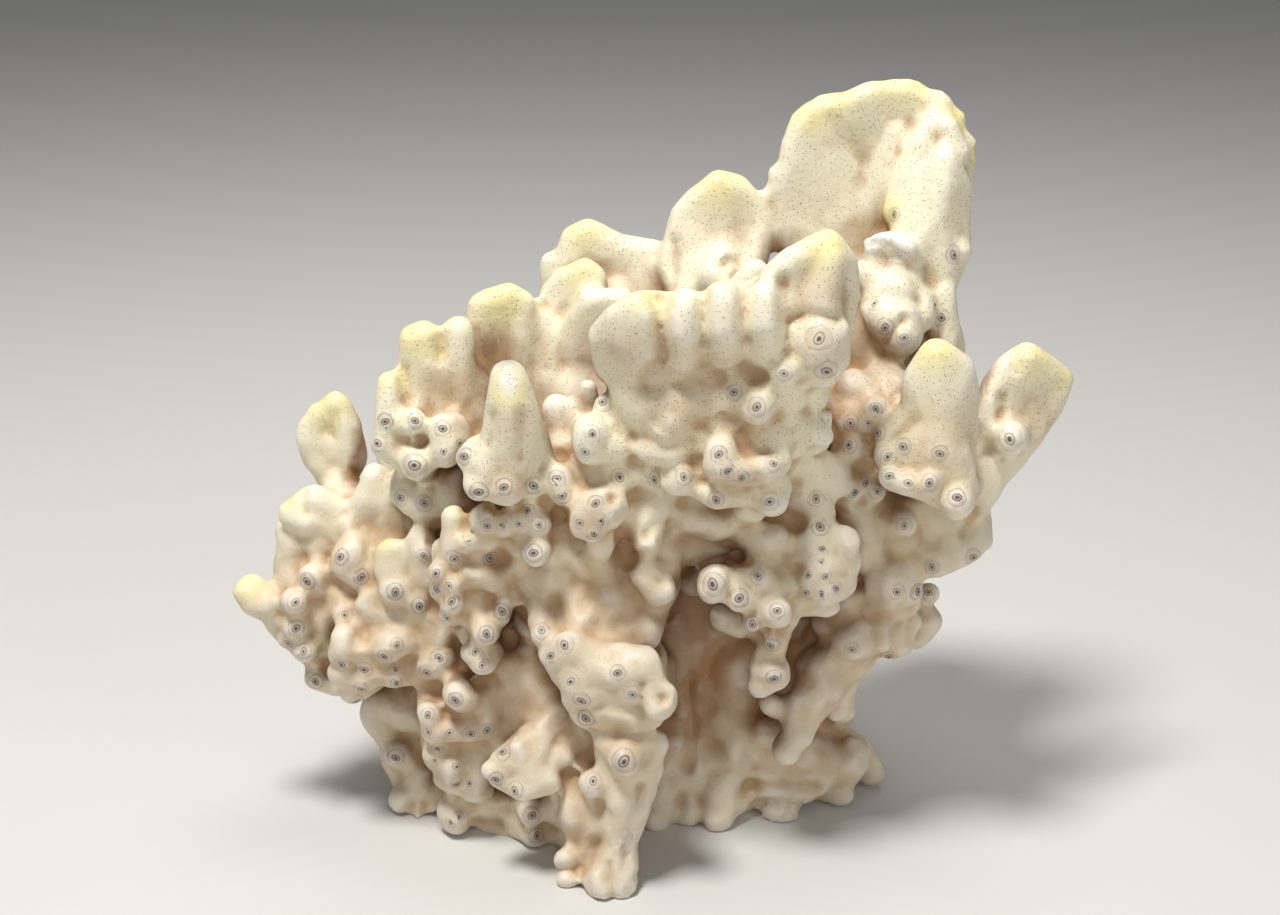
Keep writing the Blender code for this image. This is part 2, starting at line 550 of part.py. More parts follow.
            (10, 133, -27, 4.6),
            (-7, 134.4, -29, 4.2),
        ),
        web(
            (-3.6, 142, -37, 4.8),
            (-9.2, 142.4, -34, 3.9),
            (-5.4, 146.6, -37, 3.8),
            (-0.6, 149.8, -38.5, 3.8),
            (1.2, 147, -39, 4),
            (0.6, 139.6, -38, 4),
            (-3, 134.4, -34, 4.4),
            (-7.6, 135.6, -32, 4),
        ),
        limb((10.9, 149.4, -38.8, 4.9), (11, 144, -39.6, 5), (11, 138, -36, 4.6)),
        limb((21, 151, -39.6, 5.1), (21, 145, -40.6, 5.3), (21, 138.6, -37, 4.8)),
        limb((31.2, 151.4, -38.8, 4.8), (31.2, 146, -39.8, 4.9), (31.4, 139, -36, 4.6)),
        # the pointed lobe on the right and the knob below it
        web(
            (44, 154, -31, 4.4),
            (33.5, 156.5, -35),
            (38, 160.6, -34),
            (43, 163, -33),
            (46.8, 164.6, -32),
            (50.3, 160, -31),
            (51.2, 153, -31),
            (49.5, 146, -32),
            (42, 144, -34),
            (37, 147, -35),
        ),
        limb((47, 161, -34, 4), (45.5, 153, -35, 5), (45.6, 146, -36.4, 5)),
        web(
            (45, 139, -37.6, 5.6),
            (40.6, 143, -35.6, 4.4),
            (48, 143.4, -37, 4.4),
            (48.6, 137, -37, 4.2),
            (46, 134, -37, 4.6),
            (41, 136, -35.4, 4.6),
        ),
        limb((45, 139, -32, 6), (40, 132, -26, 7), (32, 126, -22, 9)),
        limb((36.2, 133.2, -39, 3.5), (36.4, 128, -33, 5)),
        limb((36.6, 141, -35, 3.6), (38, 136, -33, 5), (42, 128, -29, 5)),
        # the swelling under the hollow band, with its scar and its ledge
        limb((-1, 135.4, -32, 5.4), (10, 136.6, -32, 5.4), (22, 137, -32, 5.4), (33, 139, -31, 5.4)),
        limb((1, 125, -32, 6), (12, 125.4, -32, 6.6), (23, 127, -33, 6.4)),
        limb((-4, 132, -32, 4.6), (0, 125, -32, 5.6), (6, 119, -32, 5.6), (16, 120, -31, 6)),
        limb((6.8, 120, -36.5, 4.2), (12, 121, -32, 6)),
        limb((1.4, 114, -35, 2.8), (7, 112.8, -36.5, 2.8), (12, 115.4, -34, 3.6)),
        limb((28.8, 125, -38, 4.8), (28, 127, -33, 6)),
        limb((24, 129, -36, 3.6), (24, 127, -31, 5)),
        limb((35.6, 123, -31, 5.4), (36, 127, -29, 5)),
        # the broken point
        limb((36, 119.6, -30, 4.8), (43.6, 118.4, -33, 3.4), (46.4, 117, -33.5, 2.3)),
        limb((38, 114.8, -27, 4), (45, 115.4, -30, 2.6)),
        # the barnacled roll and the three lumps below it
        limb((20.3, 114.6, -40, 4), (20.6, 110, -41, 4.6), (25.2, 108.6, -40.5, 4.1), (31, 109.6, -39, 3.8)),
        limb((31, 109.6, -39, 3.8), (34.4, 111.2, -37, 3.2)),
        limb((10.2, 106.4, -36, 4.3), (11, 110, -30, 5)),
        limb((16, 104.2, -36, 3.6), (19.6, 102.4, -37, 3.7), (24.6, 102.8, -36, 3.5)),
        limb((19, 105.4, -35, 4), (28, 105, -35, 4), (33, 105.6, -34, 4)),
        limb((32.6, 101.4, -35, 4.4), (34, 105.4, -32, 4)),
        limb((28, 100, -31, 4.4), (28, 105, -30, 5)),
        limb((10, 108, -25, 6), (28, 107, -26, 6.4), (36, 112, -24, 6.4)),
        limb((23, 119, -33.5, 5), (33, 117.4, -33.5, 5), (28, 122, -28, 7)),
        limb((27, 114.6, -34, 4), (33, 114, -33, 3.8), (37, 115, -31, 4)),
        limb((13.6, 111, -31.6, 4.4), (18, 108, -31, 5)),
        limb((41, 111, -22, 6), (47, 107, -20, 6), (39, 103, -21, 6)),
        limb((18, 118, -24, 8), (18, 120, -6, 14)),
        limb((24, 110, -24, 7), (28, 112, -6, 12)),
        limb((6, 132, -26, 6), (10, 122, -24, 8)),
    ],
    "fan_plate": [
        web(
            (58, 184, 26, 4.4),
            (35.6, 179.2, 22, 4.2),
            (37.8, 185, 22, 3.6),
            (38.6, 190, 23),
            (41, 195.6, 24),
            (46, 199, 25),
            (52, 199.8, 24),
            (58, 202.8, 23),
            (66.6, 203.2, 24),
            (70, 201.4, 24),
            (75, 199.8, 23),
            (79, 191.5, 22),
            (80.3, 186, 22),
            (79, 179, 21),
            (76.5, 171, 20, 4.2),
            (68, 158, 20, 6),
            (56, 152, 20, 7),
            (44, 156, 21, 6),
            (37.5, 167, 21, 4),
        ),
        limb((74, 196.5, 20, 3.2), (70, 190, 17, 3.4), (67, 182, 15, 4), (65, 173, 13, 4.6)),
        limb((64, 193, 23, 4), (61.4, 184, 22, 4.6), (60, 174, 21, 5), (60, 165, 19, 5)),
        limb((77, 194.4, 17.6, 3.4), (79, 188, 17, 3.6)),
        limb((34.8, 182.6, 22, 3), (38, 180, 22, 4)),
        limb((43, 198, 24, 3.2), (50.6, 200.4, 24, 2.8), (52, 198, 24)),
        limb((56.6, 203.4, 23.4, 2.8), (60, 200, 24)),
        limb((63.2, 204.4, 23.6, 2.7), (68.8, 204, 24, 2.6), (68, 200, 24)),
        limb((74.4, 201.8, 23.4, 2.6), (73, 198, 23)),
        limb((79.4, 196.6, 22.6, 2.6), (76, 194, 22)),
        limb((82, 190.4, 22, 2.4), (78, 188, 22)),
        web(
            (73.6, 172, 9, 4.4),
            (76.2, 186.6, 12, 3.1),
            (79.4, 178, 15, 3.6),
            (79.4, 166, 13, 4),
            (75, 156, 8, 5),
            (67, 162, 8, 5),
            (67, 172, 11, 4.4),
            (70.6, 181, 13, 3.8),
        ),
        limb((74, 156, 8, 5), (75.5, 146, 8, 4.2), (77, 140, 7, 4), (72, 122, 6, 8)),
        web(
            (75, 176, 15, 3.6),
            (76, 187, 13, 3.1),
            (80, 184, 21, 3.6),
            (77, 165, 16, 4.5),
            (74, 152, 12, 5),
            (73, 168, 10, 4),
        ),
        limb((79.4, 163.6, 10, 4), (74, 160, 13, 5)),
        limb((76.6, 150.6, 4, 3), (74, 150, 9, 4.4)),
        limb((75.6, 153, 5, 3.8), (76, 143, 4, 4), (74, 138, 2, 4.4)),
        # the broken crest in front of the fan's foot
        limb((58, 164.8, 3, 2.6), (62, 166, 1, 2.6), (66, 164, 1, 2.8), (68.2, 160.8, 3, 2.8)),
        limb((61, 161, 4, 4), (66, 160, 4, 4), (70, 157, 9, 5)),
        limb((63, 163, 7, 5), (64, 158, 12, 7)),
        limb((58, 156, 18, 8), (54, 138, 16, 11)),
    ],
    "shoulder_lobes": [
        limb((62.4, 153, 0, 6.4), (63, 147.6, -4, 6.6), (65, 143, -5, 5.6)),
        limb((57.4, 157.6, 3, 4.6), (66.5, 156, 3, 4.8)),
        limb((58.6, 149.6, -3, 3.6), (60, 152, 0, 5)),
        limb((69.6, 147, -1, 4), (68, 152, 2, 5)),
        limb((63, 150, 3, 7), (58, 136, 8, 11)),
        # the stepped lumps beside the smooth blade
        limb((53.6, 130, -9, 4.6), (57, 127.6, -10, 4.6), (52, 126, -7, 5)),
        limb((59.2, 123.8, -16, 3.8), (57.4, 120.6, -16, 3.6), (56, 124, -9, 5)),
        limb((60, 117.8, -16, 3.4), (57, 118, -10, 5)),
        limb((52.6, 120.8, -13, 3.8), (50, 125, -8, 4.6)),
        limb((54.4, 114.6, -15.5, 4.2), (51.4, 116.6, -12, 4.4)),
        limb((54.6, 123, -9.6, 7), (53, 118, -9, 7), (52, 118, 2, 11)),
        limb((64.6, 129, -10, 4.6), (61, 132, -4, 6)),
        # the cluster of three barnacled knobs
        limb((56, 106, -17, 3.2), (54, 103, -11, 5)),
        limb((53, 103.6, -17.5, 3.1), (53, 103, -11, 5)),
        limb((58.8, 103.6, -17, 2.9), (55, 103, -11, 5)),
        limb((49.4, 99.4, -11, 4.4), (54, 97, -11, 4.6), (56.6, 93, -11, 4)),
        limb((64.6, 95.4, -15, 4.2), (64.8, 98, -9, 4)),
        limb((60.2, 93.4, -12, 3.4), (61, 97, -7, 5)),
        limb((56.8, 86.8, -13, 2.6), (54, 90, -9, 4.4), (54, 97, -6, 6)),
        limb((54, 104, -6, 7), (50, 104, 2, 11)),
        limb((60, 97, -12, 5.4), (66, 90, -9, 5.4), (62, 84, -9, 5.4)),
        limb((54, 97, -14, 5.4), (56, 88, -13, 5.4)),
        limb((48, 104, -16, 5), (54, 98, -14, 5)),
        limb((60, 92, -1, 6), (56, 86, 1, 8)),
    ],
    "right_blade": [
        web(
            (74.5, 121, -25, 5.4),
            (74, 137.6, -24, 4.2),
            (79.8, 134, -23, 4),
            (81, 127, -22, 4),
            (80, 118, -22, 4),
            (79, 110, -24, 4),
            (80.5, 104.5, -27, 4.2),
            (78, 102.5, -29, 4),
            (70, 105.2, -28, 3.8),
            (63.6, 107.6, -25, 3.6),
            (61.8, 112, -22, 3.8),
            (64, 118, -21, 3.8),
            (69, 124, -22, 4),
            (70, 131, -23, 4.2),
        ),
        limb((79.4, 100.2, -31.5, 3.7), (79, 104, -29, 4)),
        limb((62, 112, -24.5, 3.6), (64, 114, -21, 4)),
        limb((62.8, 107, -28, 3), (67, 105.6, -29.5, 3.1)),
        limb((72.4, 106, -30.5, 3.2), (72, 109, -25, 4.4)),
        limb((67, 113, -17, 6), (60, 112, -8, 8), (50, 112, 2, 12)),
    ],
    "right_wing": [
        web(
            (95, 127, -3, 4),
            (88.7, 129.8, -6, 3.7),
            (92, 134, -5, 3.7),
            (96.8, 137, -4, 3.7),
            (100.8, 134.5, -2, 3.7),
            (105.4, 131.2, 0, 3.7),
            (103.3, 126, -1, 3.7),
            (99.5, 120.5, -3, 3.7),
            (94.5, 114, -5, 3.7),
            (91, 109.5, -7, 3.7),
            (87, 107, -8, 4),
            (85.5, 112, -8, 4),
            (86, 122, -8, 4),
        ),
        limb((91.8, 117, -12, 4.4), (93, 118, -6, 4.4)),
        limb((89, 108, -8, 3.6), (86.4, 102.6, -10, 3.4), (83, 96, -6, 4.6)),
        web(
            (78, 93, -9, 5),
            (84.3, 96.7, -8, 4.2),
            (84.4, 92, -11, 4),
            (79.6, 88.4, -13, 4.2),
            (73.4, 85.4, -13, 3.9),
            (66, 90, -8, 5),
            (70, 99, -8, 5),
        ),
        limb((74.6, 91.6, -8, 4.4), (70, 92, -3, 5)),
        limb((88, 110, -7, 4.4), (78, 104, 0, 7)),
        limb((76, 94, -2, 6), (68, 98, 4, 9), (56, 100, 8, 12)),
    ],
    "long_finger": [
        # the smooth lobe on top and the small lobes on the right edge
        web(
            (63.4, 79.6, -17, 5.6),
            (60.4, 81.2, -16, 4.6),
            (66, 81.6, -16.4, 4.4),
            (66, 76, -15.6, 4.4),
            (60.6, 75, -15, 5),
        ),
        limb((62, 77, -12, 6), (61, 74, -6, 6)),
        limb((66.4, 70.6, -14, 3.9), (64.8, 66.8, -13, 3.7), (61, 68, -9, 5)),
        limb((71.6, 70.8, -5, 4.1), (69, 66.8, -5, 3.4), (64, 71, -3, 6)),
        limb((72.2, 78, -4, 2.4), (67, 76, -3, 5)),
        limb((60.4, 65.2, -13, 3), (66.4, 64.6, -9, 2.8)),
        limb((53.4, 66.4, -19, 5.4), (57, 68, -16, 6.4)),
        limb((52, 76, -12, 6), (48, 71, -14, 5)),
        # the drooping finger
        limb((52, 63, -14, 7.6), (46, 58, -17, 7.6), (42.4, 51.4, -20, 5.8)),
        limb((42.4, 51.4, -20, 5.8), (39.4, 45, -22, 4.3), (36.9, 38.9, -24, 3.8)),
        limb((49, 50, -10, 3.9), (50, 57, -8, 5)),
        limb((56, 70, -6, 7), (50, 74, 4, 13)),
    ],
    "hanging_arm": [
        # the barnacled arm from its thin top to the thick end
        limb((43.6, 102, -23, 3.8), (45, 96, -26, 3.8), (45, 92, -28, 4)),
        web(
            (45.6, 86, -29, 5.6),
            (43.6, 91.6, -28, 3.8),
            (48.6, 91.6, -28, 3.8),
            (51.2, 86, -28, 3.6),
            (50.4, 80.6, -29, 3.6),
            (45.4, 78.6, -30.5, 3.8),
            (41.4, 81, -30, 3.8),
            (40.4, 86.4, -28, 3.8),
        ),
        limb((51, 91.4, -30, 3.8), (48, 88, -27, 5)),
        limb((41.6, 77.4, -30, 3), (45.2, 77.6, -31, 3), (49, 79, -30, 3)),
        limb((40, 75, -27, 3.4), (47, 75.2, -26, 3)),
        # its left end, in knobs over a second lobe
        limb((18.7, 80.2, -36, 4.3), (23.4, 80, -34, 4)),
        limb((24, 80.6, -33, 4.2), (30, 81, -33, 3.9), (33.4, 78.6, -32, 4)),
        limb((25, 76.6, -36.5, 3.4), (29, 78, -33, 4.4)),
        limb((34.2, 73.3, -37, 3.9), (31, 76, -33, 4.4)),
        limb((28.4, 71.2, -35, 2.6), (31, 74, -32, 4)),
        limb((35, 78, -29, 4.6), (42, 79, -27, 5)),
        limb((20.6, 72.6, -27, 3.4), (26, 71, -27, 4), (30, 74, -28, 5)),
        # the pale column that hangs from it
        limb((36.4, 71.6, -31, 4.2), (34, 67, -32, 4), (32.2, 61.6, -32, 4)),
        limb((33.2, 66.4, -35, 2.4), (34, 68, -32, 3.4)),
        limb((30.8, 59.4, -33, 3.4), (33.8, 59, -33.5, 3.6), (32, 61, -31, 3.8)),
        limb((31, 55.8, -32.5, 3.5), (34, 56.6, -32, 3.3), (32.6, 60, -31, 3.8)),
        limb((32.6, 50.4, -20, 3), (36, 49, -19, 3.6)),
        limb((27, 93, -25, 5), (31.6, 91, -26, 6.4), (35.6, 85, -25, 5.4)),
        limb((45, 86, -22, 7), (42, 92, -12, 9), (40, 96, 0, 13)),
        limb((32, 92, -14, 8), (36, 92, -2, 12)),
    ],
    "rear_left_blade": [
        plate(
            (-45, 34, 94, 5),
            (-58, 30, 94, 4),
            (-55, 34, 108, 4),
            (-46, 38, 111, 4),
            (-36, 38, 110, 4),
            (-31, 34, 96, 5),
            (-38, 28, 80, 7),
            (-53, 27, 82, 6),
        ),
        core((-42, 30, 86, 8.5), (-34, 18, 80, 12)),
        core((-66, 30, 84, 4.5), (-58, 24, 78, 6), (-48, 18, 74, 9)),
    ],
    "rear_right_blade": [
        plate(
            (52, 42, 104, 5),
            (39, 42, 108, 4),
            (41, 46, 124, 4),
            (52, 48, 130, 4),
            (64, 46, 122, 4),
            (69, 40, 106, 4),
            (60, 32, 90, 6),
            (45, 32, 88, 7),
        ),
        core((50, 32, 92, 8), (44, 18, 90, 12)),
        core((80, 24, 88, 5), (70, 20, 86, 7), (56, 16, 88, 10)),
    ],
    "rear_middle_blade": [
        plate(
            (4, 45, 102, 5),
            (-13, 44, 104, 4),
            (-11, 48, 120, 4),
            (4, 52, 128, 4),
            (17, 50, 124, 4),
            (21, 44, 106, 4),
            (14, 41, 88, 7),
            (-5, 40, 86, 7),
        ),
        core((4, 38, 90, 9), (2, 24, 88, 13)),
        core((-20, 54, 90, 4.5), (-12, 44, 80, 6), (-6, 32, 74, 9)),
        core((32, 54, 94, 4.5), (26, 42, 82, 6), (20, 32, 76, 9)),
    ],
}

# Grooves and pits pressed into the front of a fork: how deep, how wide at half their
# depth, then the points of the line as (right, up)
CREASES = {
    "trunk": [
        (2.0, 1.2, (26, 27), (27, 29.4), (35, 30.4), (44, 29.4)),
        (1.6, 1.2, (12, 60), (13, 46), (12, 34)),
    ],
    "front_leg": [
        (2.8, 1.5, (5.2, 51.3)),
        (1.6, 1.2, (0.2, 55), (1.2, 51), (0.6, 47)),
        (1.4, 1.3, (-12, 45.4), (-5, 44), (3, 44.6)),
        (1.4, 1.2, (1, 92.6), (3.8, 95.4)),
        (1.4, 1.2, (1.4, 83.6), (4.6, 81.2)),
        (1.5, 1.2, (-2.4, 86.4), (2, 87.4), (7, 86)),
        (1.5, 1.0, (-7.6, 10), (-7, 1)),
        (1.3, 1.0, (-20, 9), (-15.4, 9.4)),
        (1.2, 1.0, (-13.4, 2), (-13.8, 11), (-11, 16)),
        (1.0, 0.9, (0, 29), (-3, 20), (-4, 10)),
        (1.2, 1.4, (-14, 74), (-12, 82), (-15, 88)),
        (1.2, 1.4, (-6, 70), (0, 73), (6, 72)),
    ],
    "left_mound": [
        (1.4, 1.2, (-24.6, 48), (-29, 43.6), (-33.6, 41.6)),
        (1.3, 1.1, (-21.6, 40.4), (-23.6, 35.4)),
        (1.2, 1.0, (-57.6, 20), (-57.4, 25)),
        (1.2, 1.0, (-54, 20), (-54, 25)),
    ],
    "left_fork": [
        (0.8, 1.1, (-76.4, 122), (-76.4, 115)),
        (1.2, 1.2, (-84.4, 103), (-83.6, 98)),
        (1.4, 1.3, (-77, 61), (-70, 60.6), (-63, 61.2)),
        (1.2, 1.2, (-76, 86), (-74, 92)),
    ],
    "knob_cluster": [
        (1.4, 1.3, (-44, 86), (-38, 84.4), (-34, 86)),
        (1.2, 1.1, (-44, 79), (-40, 79.6), (-37, 77)),
        (1.2, 1.1, (-44.6, 93), (-43.4, 98)),
    ],
    "middle_knobs": [
        (2.6, 1.1, (-7, 101.6)),
        (1.4, 1.0, (-10, 91.6), (-7, 93)),
    ],
    "mitten_blade": [
        (1.4, 1.0, (-49.8, 142), (-49.8, 136)),
        (1.6, 1.2, (-59.6, 134), (-58.8, 127), (-59, 121)),
    ],
    "middle_blades": [
        (0.9, 1.2, (-23.4, 150), (-23.4, 134)),
    ],
    "front_thumb": [
        (1.2, 1.3, (-29.6, 123), (-29, 117), (-30, 112)),
        (1.2, 1.2, (-37, 123), (-37.6, 116)),
    ],
    "back_ridge": [
        (2.0, 1.3, (21, 160.2), (23, 161.6)),
        (1.3, 1.4, (8.6, 166), (9, 158), (8, 150)),
    ],
    "front_blade": [
        (3.4, 1.5, (5.6, 152), (5.4, 145), (6.4, 138)),
        (2.6, 1.4, (15.9, 152), (16, 146), (16, 141)),
        (2.4, 1.4, (26.4, 153.4), (26.2, 147), (26.6, 141.6)),
        (2.4, 1.4, (35.8, 156), (35.4, 149), (36.4, 142)),
        (1.6, 1.3, (37, 146.4), (42, 147.6), (49, 146.6)),
        (1.4, 1.2, (40, 131), (44, 131), (48, 132)),
        (1.6, 1.2, (24.8, 117.4), (26.6, 112.6), (32, 112.8)),
        (1.0, 1.3, (4, 121), (8, 118)),
        (1.4, 1.2, (14.6, 106.6), (24, 105), (29.4, 106)),
        (1.2, 1.0, (27, 104.4), (29.4, 99)),
    ],
    "fan_plate": [
        (1.0, 1.5, (68, 195), (64.6, 184), (62.6, 172)),
        (1.4, 0.8, (57, 165.6), (62, 165), (64.4, 163), (67, 161.4)),
    ],
    "shoulder_lobes": [
        (1.5, 1.3, (56, 150.6), (62, 152.6), (69, 151)),
        (1.3, 1.1, (62, 142), (66, 146.4)),
    ],
    "right_blade": [
        (1.2, 1.3, (65, 117), (68, 121)),
    ],
    "right_wing": [
        (1.4, 1.2, (87, 113), (90, 120), (91, 127)),
        (1.2, 1.2, (84.6, 99), (80.4, 92.4)),
        (1.4, 1.1, (93.4, 139), (94, 134)),
    ],
    "long_finger": [
        (1.5, 1.2, (58.6, 72), (64, 72.6), (68.6, 73.6)),
        (1.5, 1.2, (68.6, 73), (68, 66)),
        (1.3, 1.2, (59, 68), (59.4, 62)),
    ],
    "hanging_arm": [
        (1.4, 1.2, (22.4, 83), (22, 78)),
        (1.4, 1.2, (39.6, 84), (40, 78)),
        (1.2, 1.1, (35, 69.4), (30, 69)),
        (1.2, 1.1, (35, 60.4), (31, 61.6)),
    ],
}

# The shade of each fork and the triangles that it may have
FINISH = {
    "trunk": ((0.93, 0.85, 0.74), 1050),
    "front_leg": ((0.93, 0.87, 0.77), 400),
    "left_mound": ((0.93, 0.86, 0.74), 330),
    "left_fork": ((0.95, 0.89, 0.75), 470),
    "knob_cluster": ((0.92, 0.86, 0.78), 360),
    "middle_knobs": ((0.94, 0.89, 0.82), 260),
    "mitten_blade": ((0.95, 0.90, 0.76), 330),
    "middle_blades": ((0.95, 0.90, 0.78), 300),
    "front_thumb": ((0.95, 0.90, 0.78), 190),
    "back_ridge": ((0.96, 0.92, 0.78), 330),
    "front_blade": ((0.94, 0.88, 0.80), 550),
    "fan_plate": ((0.96, 0.92, 0.80), 330),
    "shoulder_lobes": ((0.94, 0.89, 0.76), 300),
    "right_blade": ((0.95, 0.90, 0.78), 260),
    "right_wing": ((0.95, 0.90, 0.78), 330),
    "long_finger": ((0.93, 0.86, 0.76), 300),
    "hanging_arm": ((0.94, 0.89, 0.82), 330),
    "rear_left_blade": ((0.95, 0.90, 0.78), 190),
    "rear_right_blade": ((0.95, 0.90, 0.78), 260),
    "rear_middle_blade": ((0.95, 0.90, 0.78), 260),
}


def hull_of_balls(skin, balls):
    """Adds the tight skin round two or three balls to a mesh that is being built."""
    form = bmesh.new()
    for centre, radius in balls:
        bmesh.ops.create_icosphere(
            form, subdivisions=2, radius=radius + FILLET, matrix=Matrix.Translation(centre)
        )
    if len(balls) > 1:
        bmesh.ops.delete(form, geom=form.edges[:] + form.faces[:], context="EDGES_FACES")
        found = bmesh.ops.convex_hull(form, input=form.verts[:])
        inner = [item for item in found["geom_interior"] if isinstance(item, bmesh.types.BMVert)]
        bmesh.ops.delete(form, geom=inner, context="VERTS")
    bmesh.ops.recalc_face_normals(form, faces=form.faces[:])
    mesh = bpy.data.meshes.new("link")
    form.to_mesh(mesh)
    form.free()
    skin.from_mesh(mesh)
    bpy.data.meshes.remove(mesh)


def settled(obj):
    """Turns an object's modifiers into its mesh."""
    graph = bpy.context.evaluated_depsgraph_get()
    mesh = bpy.data.meshes.new_from_object(obj.evaluated_get(graph))
    obj.modifiers.clear()
    old = obj.data
    obj.data = mesh
    bpy.data.meshes.remove(old)


def places_of(mesh):
    """The mesh's points as rows of x, y, z."""
    places = np.empty(len(mesh.vertices) * 3)
    mesh.vertices.foreach_get("co", places)
    return places.reshape(-1, 3)


def softened(obj, rounds):
    """Wears the skin smooth."""
    soften = obj.modifiers.new("soften", "SMOOTH")
    soften.factor = SMOOTH_SHARE
    soften.iterations = rounds
    settled(obj)


def drawn_in(obj, depth):
    """Moves the skin inwards, which leaves a fillet in its creases."""
    normals = np.array([normal.vector for normal in obj.data.vertex_normals])
    places = places_of(obj.data) - normals * depth
    obj.data.vertices.foreach_set("co", places.ravel())
    obj.data.update()


def line_distance(flat, line):
    """How far each place of the picture plane lies from a line."""
    nearest = np.full(len(flat), 99.0)
    for start, end in zip(line, line[1:] or line):
        start = np.array(start)
        run = np.array(end) - start
        share = np.clip((flat - start) @ run / max(run @ run, 0.000001), 0.0, 1.0)
        away = flat - start - share[:, None] * run
        nearest = np.minimum(nearest, np.linalg.norm(away, axis=1))
    return nearest


def creased(obj, creases):
    """Presses lines and pits into what the eye sees of the fork."""
    places = places_of(obj.data)
    rays = places - np.array(EYE)
    ahead = rays @ np.array(SIGHT)
    upward = rays @ np.array(SIGHT_UP)
    flat = np.stack([rays[:, 0], upward], axis=1) * (SIGHT_LENGTH / ahead)[:, None]
    flat[:, 1] += AIM_UP
    tree = BVHTree.FromPolygons(places.tolist(), [face.vertices[:] for face in obj.data.polygons])
    for depth, width, *line in creases:
        away = line_distance(flat, line)
        for index in np.nonzero(away < width * 2.2)[0]:
            ray = Vector(rays[index])
            hit = tree.ray_cast(EYE, ray.normalized())[3]
            if hit is not None and hit > ray.length - 1.5:
                push = depth * math.exp(-0.7 * (away[index] / width) ** 2)
                places[index] += np.array(SIGHT) * push
    obj.data.vertices.foreach_set("co", places.ravel())
    obj.data.update()


def furrowed(obj):
    """Deepens the creases between lumps and leaves the lumps as they are."""
    places = places_of(obj.data)
    normals = np.array([normal.vector for normal in obj.data.vertex_normals])
    softened(obj, FURROW_ROUNDS)
    sunk = np.sum((places - places_of(obj.data)) * normals, axis=1)
    depth = np.clip(sunk * FURROW_STRENGTH, -FURROW_DEEPEST, 0.0)
    places = places + normals * depth[:, None]
    obj.data.vertices.foreach_set("co", places.ravel())
    obj.data.update()


def grown(name, links, faces):
    """One fork as a closed skin of about that many triangles, not yet parted from the others."""
    skin = bmesh.new()
    for balls in links:
        hull_of_balls(skin, balls)
    mesh = bpy.data.meshes.new(name)
    skin.to_mesh(mesh)
    skin.free()
    obj = bpy.data.objects.new(name, mesh)
    colony.objects.link(obj)
    fuse = obj.modifiers.new("fuse", "REMESH")
    fuse.mode = "VOXEL"
    fuse.voxel_size = VOXEL
    settled(obj)
    softened(obj, SMOOTH_ROUNDS)
    drawn_in(obj, FILLET)
    furrowed(obj)
    creased(obj, CREASES.get(name, []))
    triangles = sum(len(face.vertices) - 2 for face in obj.data.polygons)
    thin = obj.modifiers.new("thin", "DECIMATE")
    thin.ratio = faces / triangles
    settled(obj)
    return obj


def swollen(obj, gap):
    """A cutter that is the fork's own skin, each of its faces moved out by the gap."""
    form = bmesh.new()
    form.from_mesh(obj.data)
    moves = []
    for vertex in form.verts:
        lean = min(vertex.normal.dot(face.normal) for face in vertex.link_faces)
        moves.append(vertex.normal * (gap / max(lean, SHARPEST)))
    for vertex, move in zip(form.verts, moves):
        vertex.co += move
    mesh = bpy.data.meshes.new(obj.name + "_room")
    form.to_mesh(mesh)
    form.free()
    cutter = bpy.data.objects.new(obj.name + "_room", mesh)
    cutters.objects.link(cutter)
    cutter.hide_render = True
    cutter.display_type = "WIRE"
    return cutter


def boxes_meet(a, b):
    """Whether two meshes' bounding boxes overlap."""
    reach = []
    for obj in (a, b):
        places = [vertex.co for vertex in obj.data.vertices]
        low = Vector(min(place[axis] for place in places) for axis in range(3))
        high = Vector(max(place[axis] for place in places) for axis in range(3))
        reach.append((low, high))
    (low_a, high_a), (low_b, high_b) = reach
    return all(low_a[axis] < high_b[axis] and low_b[axis] < high_a[axis] for axis in range(3))


def cut(obj, cutter):
    """Takes the cutter's space out of the fork."""
    away = obj.modifiers.new("part", "BOOLEAN")
    away.operation = "DIFFERENCE"
    away.object = cutter
    away.solver = "EXACT"
    away.use_self = True


def drop_chips(obj):
    """Keeps the fork's largest body and drops the chips that a neighbour cut loose."""
    form = bmesh.new()
    form.from_mesh(obj.data)
    left = set(form.verts)
    bodies = []
    while left:
        body = {left.pop()}
        edge = list(body)
        while edge:
            vertex = edge.pop()
            for link in vertex.link_edges:
                other = link.other_vert(vertex)
                if other in left:
                    left.remove(other)
                    body.add(other)
                    edge.append(other)
        bodies.append(body)
    keep = max(bodies, key=len)
    loose = [vertex for vertex in form.verts if vertex not in keep]
    bmesh.ops.delete(form, geom=loose, context="VERTS")
    form.to_mesh(obj.data)
    form.free()
    return len(bodies) - 1


def skeleton_material(name, colour):
    """Dry limestone in the fork's own shade."""
    material = bpy.data.materials.new(name)
    material.use_nodes = True
    shader = material.node_tree.nodes["Principled BSDF"]
    shader.inputs["Base Color"].default_value = (*colour, 1.0)
    shader.inputs["Roughness"].default_value = 0.6
    shader.inputs["Metallic"].default_value = 0.0
    return material


